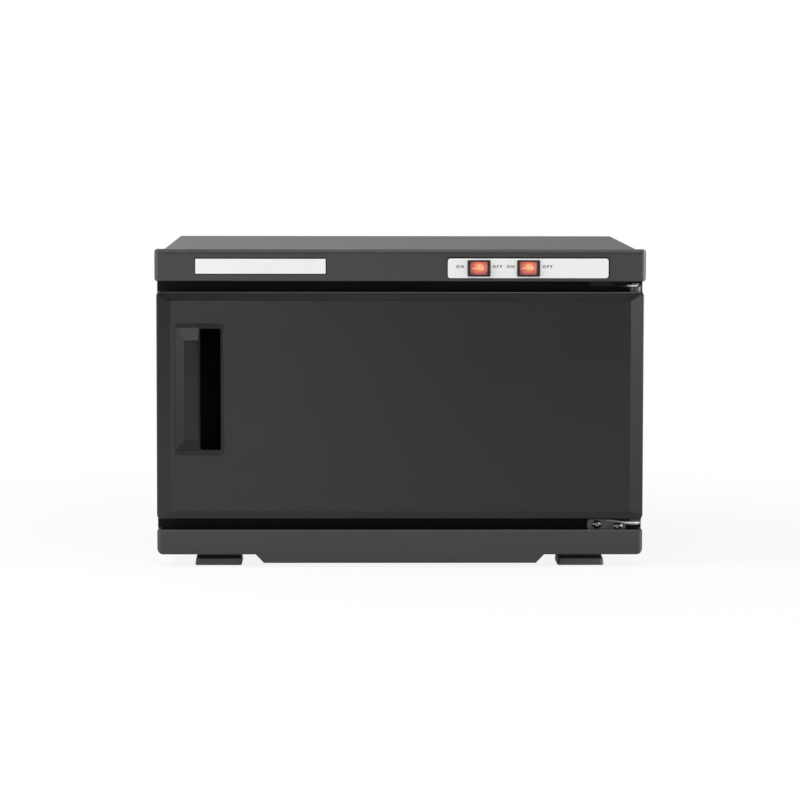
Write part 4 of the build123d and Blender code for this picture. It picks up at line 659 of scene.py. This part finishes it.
def fit_screws():
    """Cross-head screws, each at its CAD screw's place."""
    tree = screw_tree()
    m4 = {"Head Radius": 4.0 * MM, "Head Height": 2.4 * MM, "Shank Radius": 2.0 * MM}
    m3 = {"Head Radius": 2.9 * MM, "Head Height": 1.9 * MM, "Shank Radius": 1.5 * MM}
    back, down, front, sideways = (0, 1, 0), (0, 0, -1), (0, -1, 0), None
    groups = (
        ("hinge_screws", m4, front, "housing"),
        ("rear_screws", m3, back, "housing"),
        ("side_screws", m4, sideways, "housing"),
        ("inlet_screws", m3, back, "housing"),
        ("foot_screws", m4, down, "housing"),
        ("fascia_screws", m3, back, "housing"),
        ("door_screws", m3, back, "door"),
    )
    first_seed = 3
    for seed, (node, sizes, facing, body) in enumerate(groups, first_seed):
        low, high = islands(node)[0]
        axis = max(range(3), key=lambda i: abs((facing or (1, 0, 0))[i]))
        finish = materials[slots[node]]
        # the hinge screws' recesses take the pale painted highlight
        mesh = grown(node, facing_points(node, screw_seats(node, facing, sizes["Head Height"])), tree, {
            **sizes, "Shank Length": (high - low)[axis] - sizes["Head Height"], "Seed": seed,
            "Finish": finish, "Recess Finish": recess_wear_highlight if node == "hinge_screws" else finish})
        fitted("cross_head_" + node, mesh, body, replaced=[node])


def fit_rivets():
    """Blind rivets through the cavity's back wall, beside the lamp guard and near the wall's corners."""
    beside_guard, beside_corner = guard_high.x + 7 * MM, liner_high.x - 12 * MM
    inward_at_guard, inward_at_corner = 8 * MM, 25 * MM
    seats = ((beside_guard, guard_low.z + inward_at_guard), (beside_guard, guard_high.z - inward_at_guard),
             (beside_corner, liner_low.z + inward_at_corner), (beside_corner, liner_high.z - inward_at_corner))
    places = [((side * x, guard_high.y, z), (0, -1, 0)) for side in (-1, 1) for x, z in seats]
    mesh = grown("liner_rivets", facing_points("liner_rivets", places), rivet_tree(), {
        "Head Radius": 2.4 * MM, "Head Height": 1.1 * MM, "Seed": 1, "Finish": materials["lamp_cap_metal"]})
    fitted("liner_rivets", mesh, "housing")


def fit_rack():
    """Towel shelf of chromed wire."""
    low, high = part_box("wire_rack")
    frame_wire, cross_wire, sink = 2.2 * MM, 1.3 * MM, 0.5 * MM
    corner, pitch, foot_inset = 14.0 * MM, 20.0 * MM, 26.0 * MM
    half = high.x - frame_wire
    front, back = low.y + frame_wire, high.y - frame_wire
    level = high.z - 2 * cross_wire - frame_wire + sink
    floor = low.z + frame_wire
    foot = ((front + foot_inset, level), (front + foot_inset, floor),
            (back - foot_inset, floor), (back - foot_inset, level))
    verts = [(side * half, y, z) for side in (-1, 1) for y, z in foot]
    edges = [(first + i, first + i + 1) for first in (0, len(foot)) for i in range(len(foot) - 1)]
    mesh = grown("towel_shelf", mesh_of("towel_shelf", verts, edges), rack_tree(), {
        "Half Width": half, "Front": front, "Back": back, "Level": level, "Corner": corner,
        "Frame Wire": frame_wire, "Cross Wire": cross_wire, "Sink": sink, "Pitch": pitch,
        "Cross Wires": int((2 * half - 2 * corner) // pitch) + 1, "Foot Bend": 7.0 * MM,
        "Finish": materials["rack_wire"]})
    fitted("towel_shelf", mesh, "housing", replaced=["wire_rack"])


def fit_seal():
    """Bulb seal round the back of the door."""
    low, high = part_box("door_gasket")
    mesh = grown("door_bulb_seal", mesh_of("door_bulb_seal", [(0, 0, 0)]), seal_tree(), {
        "Width": high.x - low.x, "Height": high.z - low.z, "Corner": 4.0 * MM, "Strip Width": 7.0 * MM,
        "Strip Thickness": 0.9 * MM, "Bulb Radius": 1.4 * MM, "Rib Radius": 0.4 * MM, "Rib Offset": 2.4 * MM,
        "Seal Height": high.y - low.y, "Finish": materials["gasket_rubber"]})
    # the ring is drawn flat; it is turned so that its back lies on the lining and its bulb faces the frame
    mesh.transform(Matrix.Translation((0, low.y, (low.z + high.z) / 2)) @ Matrix.Rotation(math.radians(-90), 4, "X"))
    fitted("door_bulb_seal", mesh, "door", replaced=["door_gasket"])


# ---------------------------------------------------------------- switches and plates


def fit_handle():
    """Door handle with its edges softened and its finger pocket painted dull black as shade."""
    mesh = softened_copy("door_handle", 0.4 * MM, 12)
    mesh.materials.append(materials["charcoal_handle_plastic"])
    mesh.materials.append(pocket_painted_shade)
    low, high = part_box("door_handle")
    wall = 4.0 * MM
    # what counts as pocket: inside the rim, behind the panel's face and ahead of the back wall's outside
    pocket = ((low.x + wall / 2, high.x - wall / 2), (front_y + 0.2 * MM, high.y - 0.5 * MM),
              (low.z + wall, high.z - wall))
    for face in mesh.polygons:
        face.material_index = int(all(near < at < far for at, (near, far) in zip(face.center, pocket)))
    fitted("recessed_handle", mesh, "door", replaced=["door_handle"], sharp=14)


def rounded_outline(x_span, z_span, radius, steps=6):
    """Points of a rounded rectangle in the front view, counter-clockwise from the lower right corner."""
    points = []
    corners = ((x_span[1], z_span[0], -1, 1, 270), (x_span[1], z_span[1], -1, -1, 0),
               (x_span[0], z_span[1], 1, -1, 90), (x_span[0], z_span[0], 1, 1, 180))
    for x, z, inward_x, inward_z, start in corners:
        for step in range(steps + 1):
            angle = math.radians(start + 90 * step / steps)
            points.append((x + inward_x * radius + radius * math.cos(angle),
                           z + inward_z * radius + radius * math.sin(angle)))
    return points


def gap_shade_strip(name, node, corner, width, wide):
    """Thin black strip round a plate, let into the fascia, as the painted shadow of its gap: width shows on three
    sides, and wide at the right.
    """
    low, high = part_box(node)
    inner = rounded_outline((low.x, high.x), (low.z, high.z), corner)
    outer = rounded_outline((low.x - width, high.x + wide), (low.z - width, high.z + wide), corner + width)
    front, back = front_y - 0.12 * MM, front_y + 0.4 * MM
    loops = [[(x, y, z) for x, z in outline]
             for outline, y in ((inner, front), (outer, front), (outer, back), (inner, back))]
    fitted(name, mesh_of(name, *banded(loops)), "housing", plate_gap_shade_finish)


def ink_tree():
    """Flat printed strokes along the starting mesh's edges."""
    tree, sizes, output = geometry_tree("printed_strokes", ("Stroke Width", "Ink Thickness"))
    path = add_node(tree, "GeometryNodeMeshToCurve", {"Mesh": sizes["Geometry"]})
    flat = add_node(tree, "GeometryNodeCurvePrimitiveQuadrilateral", {
        "Width": sizes["Stroke Width"], "Height": sizes["Ink Thickness"]})
    strokes = add_node(tree, "GeometryNodeCurveToMesh", {"Curve": path, "Profile Curve": flat, "Fill Caps": True})
    return finished_tree(tree, strokes, output, {"Material": sizes["Finish"]})


# each letter's width and strokes, as shares of the capitals' height
letters = {
    "O": (1.0, [[(0.5 + 0.5 * math.sin(math.tau * i / 24), 0.5 - 0.5 * math.cos(math.tau * i / 24))
                 for i in range(25)]]),
    "N": (0.92, [[(0.0, -0.1), (0.0, 1.1)], [(0.0, 1.0), (0.92, 0.0)], [(0.92, -0.1), (0.92, 1.1)]]),
    "F": (0.55, [[(0.0, -0.1), (0.0, 1.1)], [(0.0, 1.0), (0.62, 1.0)], [(0.0, 0.48), (0.52, 0.48)]]),
}


def legend(name, word, x, z, tree):
    """Word printed on the switch plate, centred on a place."""
    height, gap = 2.2 * MM, 1.8 * MM
    length = sum(letters[letter][0] for letter in word) * height + gap * (len(word) - 1)
    pen = -length / 2
    verts, edges = [], []
    for letter in word:
        wide, strokes = letters[letter]
        for stroke in strokes:
            edges += [(len(verts) + i, len(verts) + i + 1) for i in range(len(stroke) - 1)]
            verts += [(pen + across * height, (up - 0.5) * height, 0) for across, up in stroke]
        pen += wide * height + gap
    mesh = grown(name, mesh_of(name, verts, edges), tree, {
        "Stroke Width": 0.62 * MM, "Ink Thickness": 0.05 * MM, "Finish": legend_ink})
    mesh.transform(Matrix.Translation((x, plate_face_y, z)) @ Matrix.Rotation(math.radians(90), 4, "X"))
    fitted(name, mesh, "housing", sharp=20)


def fit_legends():
    """ON at the left and OFF at the right of each switch."""
    tree = ink_tree()
    above_middle = 1.6 * MM
    for switch, on_shift, off_shift in (("heat", -17.5 * MM, 16.9 * MM), ("lamp", -16.5 * MM, 17.6 * MM)):
        middle = pivots[switch]
        for word, shift in (("ON", on_shift), ("OFF", off_shift)):
            legend(switch + "_legend_" + word.lower(), word, middle.x + shift, middle.z + above_middle, tree)


def fit_rocker(switch):
    """Lit lens of a rocker, with its bar and ring marks."""
    node, body = switch + "_rocker", switch + "_switch_rocker"
    fitted(node + "_lens", softened_copy(node, 0.35 * MM, 50), body, materials["red_lens"],
           replaced=[node])

    # the V face's ridge lies on the rocker's own axis plane, turned with the rocker by its tilt
    ridge = pivots[switch] + Matrix.Rotation(-rocker_tilt, 4, "Z") @ Vector((0, -pivot_behind_bezel, 0))
    rise = 0.03 * MM                             # height of the ink, and its depth in the lens
    bar_half, bar_width, bar_shift = 1.5 * MM, 0.4 * MM, -3.9 * MM
    outline = rounded_outline((-bar_half, bar_half), (-bar_width / 2, bar_width / 2), bar_width * 0.49, 4)
    sides = len(outline)
    faces = [tuple(range(sides)), tuple(range(sides, 2 * sides))]
    faces += [(i, (i + 1) % sides, sides + (i + 1) % sides, sides + i) for i in range(sides)]
    bar = mesh_of(switch + "_on_mark", [(x, y, z) for y in (-rise, rise) for x, z in outline], faces=faces)
    bar.transform(Matrix.Translation(ridge + Vector((bar_shift, 0, 0))))
    fitted(bar.name, bar, body, mark_ink)

    count, outer, inner, ring_shift = 28, 1.25 * MM, 0.9 * MM, 4.0 * MM
    ring = mesh_of(switch + "_off_mark", *banded([
        [(radius * math.cos(math.tau * i / count), y, radius * math.sin(math.tau * i / count)) for i in range(count)]
        for radius, y in ((outer, -rise), (outer, rise), (inner, rise), (inner, -rise))]))
    slope = Matrix.Rotation(-2 * rocker_tilt, 4, "Z")
    ring.transform(Matrix.Translation(ridge + slope @ Vector((ring_shift, 0, 0))) @ slope)
    fitted(ring.name, ring, body, mark_ink)


fit_screws()
fit_rivets()
fit_rack()
fit_seal()
gap_shade_strip("switch_plate_shadow_gap", "switch_plate", 2.5 * MM, 0.75 * MM, 1.15 * MM)
gap_shade_strip("name_plate_shadow_gap", "name_plate", 0.6 * MM, 0.7 * MM, 1.0 * MM)
fit_legends()
fit_handle()
for switch_name in pivots:
    fit_rocker(switch_name)


# ---------------------------------------------------------------- studio


def studio_floor():
    """White sweep that keeps a faint shadow; mirrored, it dims ahead of the object. Clear from below."""
    reach = 6.0
    low = -0.05 * MM                             # just clear of the feet's undersides, which stand at zero
    mesh = bpy.data.meshes.new("studio_floor")
    corners = ((-reach, -reach), (reach, -reach), (reach, reach), (-reach, reach))
    mesh.from_pydata([(x, y, low) for x, y in corners], [], [(0, 1, 2, 3)])
    floor = linked("studio_floor", mesh)
    material = bpy.data.materials.new("white_sweep")
    material.use_nodes = True
    tree = material.node_tree
    tree.nodes.clear()
    rays = add_node(tree, "ShaderNodeLightPath").outputs
    place = add_node(tree, "ShaderNodeTexCoord").outputs["Object"]
    away = add_node(tree, "ShaderNodeVectorMath", (place,), operation="LENGTH")
    white, shade = linear("#f4f4f4"), linear("#4a4a4a")
    paper = add_node(tree, "ShaderNodeBsdfDiffuse", {"Color": white})
    # painted shadow: the floor is darker grey close to the object, so the light that it throws up is weaker there
    near = add_node(tree, "ShaderNodeMapRange", (away, 0.3, 0.7, 0.0, 1.0))
    bounce = add_node(tree, "ShaderNodeBsdfDiffuse", {
        "Color": add_node(tree, "ShaderNodeMix", {0: near, 6: shade, 7: white}, data_type="RGBA")})
    axes = add_node(tree, "ShaderNodeSeparateXYZ", (place,)).outputs
    off_middle = add_node(tree, "ShaderNodeMath", (axes[0],), operation="ABSOLUTE")
    # what glossy faces see in the floor is the product of ramps: axis, start and stop, and the levels there
    mirrored = 1.0
    for ramp in ((axes[0], -0.45, 0.55, 1.18, 0.62), (axes[0], -1.0, -0.45, 0.4, 1.0),
                 (axes[1], -3.0, -0.5, 0.72, 1.18), (axes[1], -0.45, -0.2, 1.0, 0.6),
                 (off_middle, 1.2, 2.4, 1.0, 3.0)):
        mirrored = add_node(tree, "ShaderNodeMath", (mirrored, add_node(tree, "ShaderNodeMapRange", ramp)),
                            operation="MULTIPLY")
    level = add_node(tree, "ShaderNodeMix", {0: rays["Is Glossy Ray"], 2: 1.0, 3: mirrored}, data_type="FLOAT")
    glow = add_node(tree, "ShaderNodeEmission", {"Color": linear("#ffffff"), "Strength": level})
    share = add_node(tree, "ShaderNodeMapRange", (away, 0.35, 0.8, 0.88, 1.0))
    part_glow = add_node(tree, "ShaderNodeMixShader", (share, paper, glow))
    seen = rays["Is Camera Ray"]
    for ray in ("Is Transmission Ray", "Is Glossy Ray"):
        seen = add_node(tree, "ShaderNodeMath", (seen, rays[ray]), operation="MAXIMUM")
    upper = add_node(tree, "ShaderNodeMixShader", (seen, bounce, part_glow))
    facing = add_node(tree, "ShaderNodeNewGeometry").outputs["Backfacing"]
    below = add_node(tree, "ShaderNodeBsdfTransparent")
    add_node(tree, "ShaderNodeOutputMaterial", (add_node(tree, "ShaderNodeMixShader", (facing, upper, below)),))
    mesh.materials.append(material)


def studio_world():
    """Bright walls behind and beside, brightest low and at the left; dim in front; white for the camera."""
    world = bpy.data.worlds.new("studio")
    bpy.context.scene.world = world
    world.use_nodes = True
    tree = world.node_tree
    tree.nodes.clear()
    rays = add_node(tree, "ShaderNodeLightPath").outputs
    direction = add_node(tree, "ShaderNodeTexCoord").outputs["Generated"]
    axes = add_node(tree, "ShaderNodeSeparateXYZ", (direction,)).outputs
    # each ramp: axis, where it starts and stops, and its levels there
    walls, slope, behind, height = [add_node(tree, "ShaderNodeMapRange", ramp) for ramp in (
        (axes[1], -0.85, -0.1, 0.05, 1.0), (axes[0], -0.3, 0.3, 0.75, -0.6),
        (axes[1], 0.3, 0.9, 0.0, 1.0), (axes[2], 0.15, 0.6, 1.0, 0.2))]
    leftward = add_node(tree, "ShaderNodeMath", (slope, behind, 1.0), operation="MULTIPLY_ADD")
    level = add_node(tree, "ShaderNodeMath", (walls, leftward), operation="MULTIPLY")
    strength = add_node(tree, "ShaderNodeMath", (level, height), operation="MULTIPLY")
    lit = add_node(tree, "ShaderNodeBackground", {"Color": linear("#ffffff"), "Strength": strength})
    seen = add_node(tree, "ShaderNodeBackground", {"Color": linear("#ffffff"), "Strength": 1.0})
    clear = add_node(tree, "ShaderNodeMath", (rays["Is Camera Ray"], rays["Is Transmission Ray"]),
                     operation="MAXIMUM")
    add_node(tree, "ShaderNodeOutputWorld", (add_node(tree, "ShaderNodeMixShader", (clear, lit, seen)),))


def softbox(name, place, aim, size, power):
    """Rectangular area lamp that faces a point."""
    lamp = bpy.data.lights.new(name, "AREA")
    lamp.shape = "RECTANGLE"
    lamp.size, lamp.size_y = size
    lamp.energy = power
    place, aim = Vector(place), Vector(aim)
    turn = (aim - place).to_track_quat("-Z", "Y").to_matrix().to_4x4()
    linked(name, lamp).matrix_world = Matrix.Translation(place) @ turn


def studio_camera():
    """Long-lens camera a little left of the middle and above the top, looking slightly down."""
    camera = bpy.data.cameras.new("studio_camera")
    camera.sensor_width = 36.0
    camera.lens = 159.3
    distance, height, left = 3.2342, 0.4239, 0.0480        # to the front plane, above the floor, off the middle
    yaw, pitch, roll = (math.radians(angle) for angle in (0.8465, 4.7545, -0.09))
    look = Vector((math.sin(yaw) * math.cos(pitch), math.cos(yaw) * math.cos(pitch), -math.sin(pitch)))
    turn = look.to_track_quat("-Z", "Y").to_matrix().to_4x4() @ Matrix.Rotation(-roll, 4, "Z")
    holder = linked("studio_camera", camera)
    holder.matrix_world = Matrix.Translation((-left, front_y - distance, height)) @ turn
    bpy.context.scene.camera = holder


studio_floor()
studio_world()
studio_camera()
door_middle = (0, 0, 0.15)
softbox("overhead_softbox", (-1.2, -0.45, 1.6), (0, -0.1, 0.2), (1.2, 1.2), 19.5)
softbox("key_softbox", (0.31, -1.46, 1.92), door_middle, (1.4, 1.1), 20.5)
softbox("left_softbox", (-1.45, -1.0, 0.44), door_middle, (0.9, 1.2), 9)
softbox("right_softbox", (1.27, -2.19, 0.32), door_middle, (0.8, 0.8), 5.6)
softbox("side_softbox", (1.35, -0.35, 0.2), door_middle, (0.5, 0.5), 8.5)
softbox("low_front_softbox", (-0.44, -3.73, 0.09), door_middle, (0.5, 0.4), 3)

bpy.context.scene.view_settings.view_transform = "Standard"
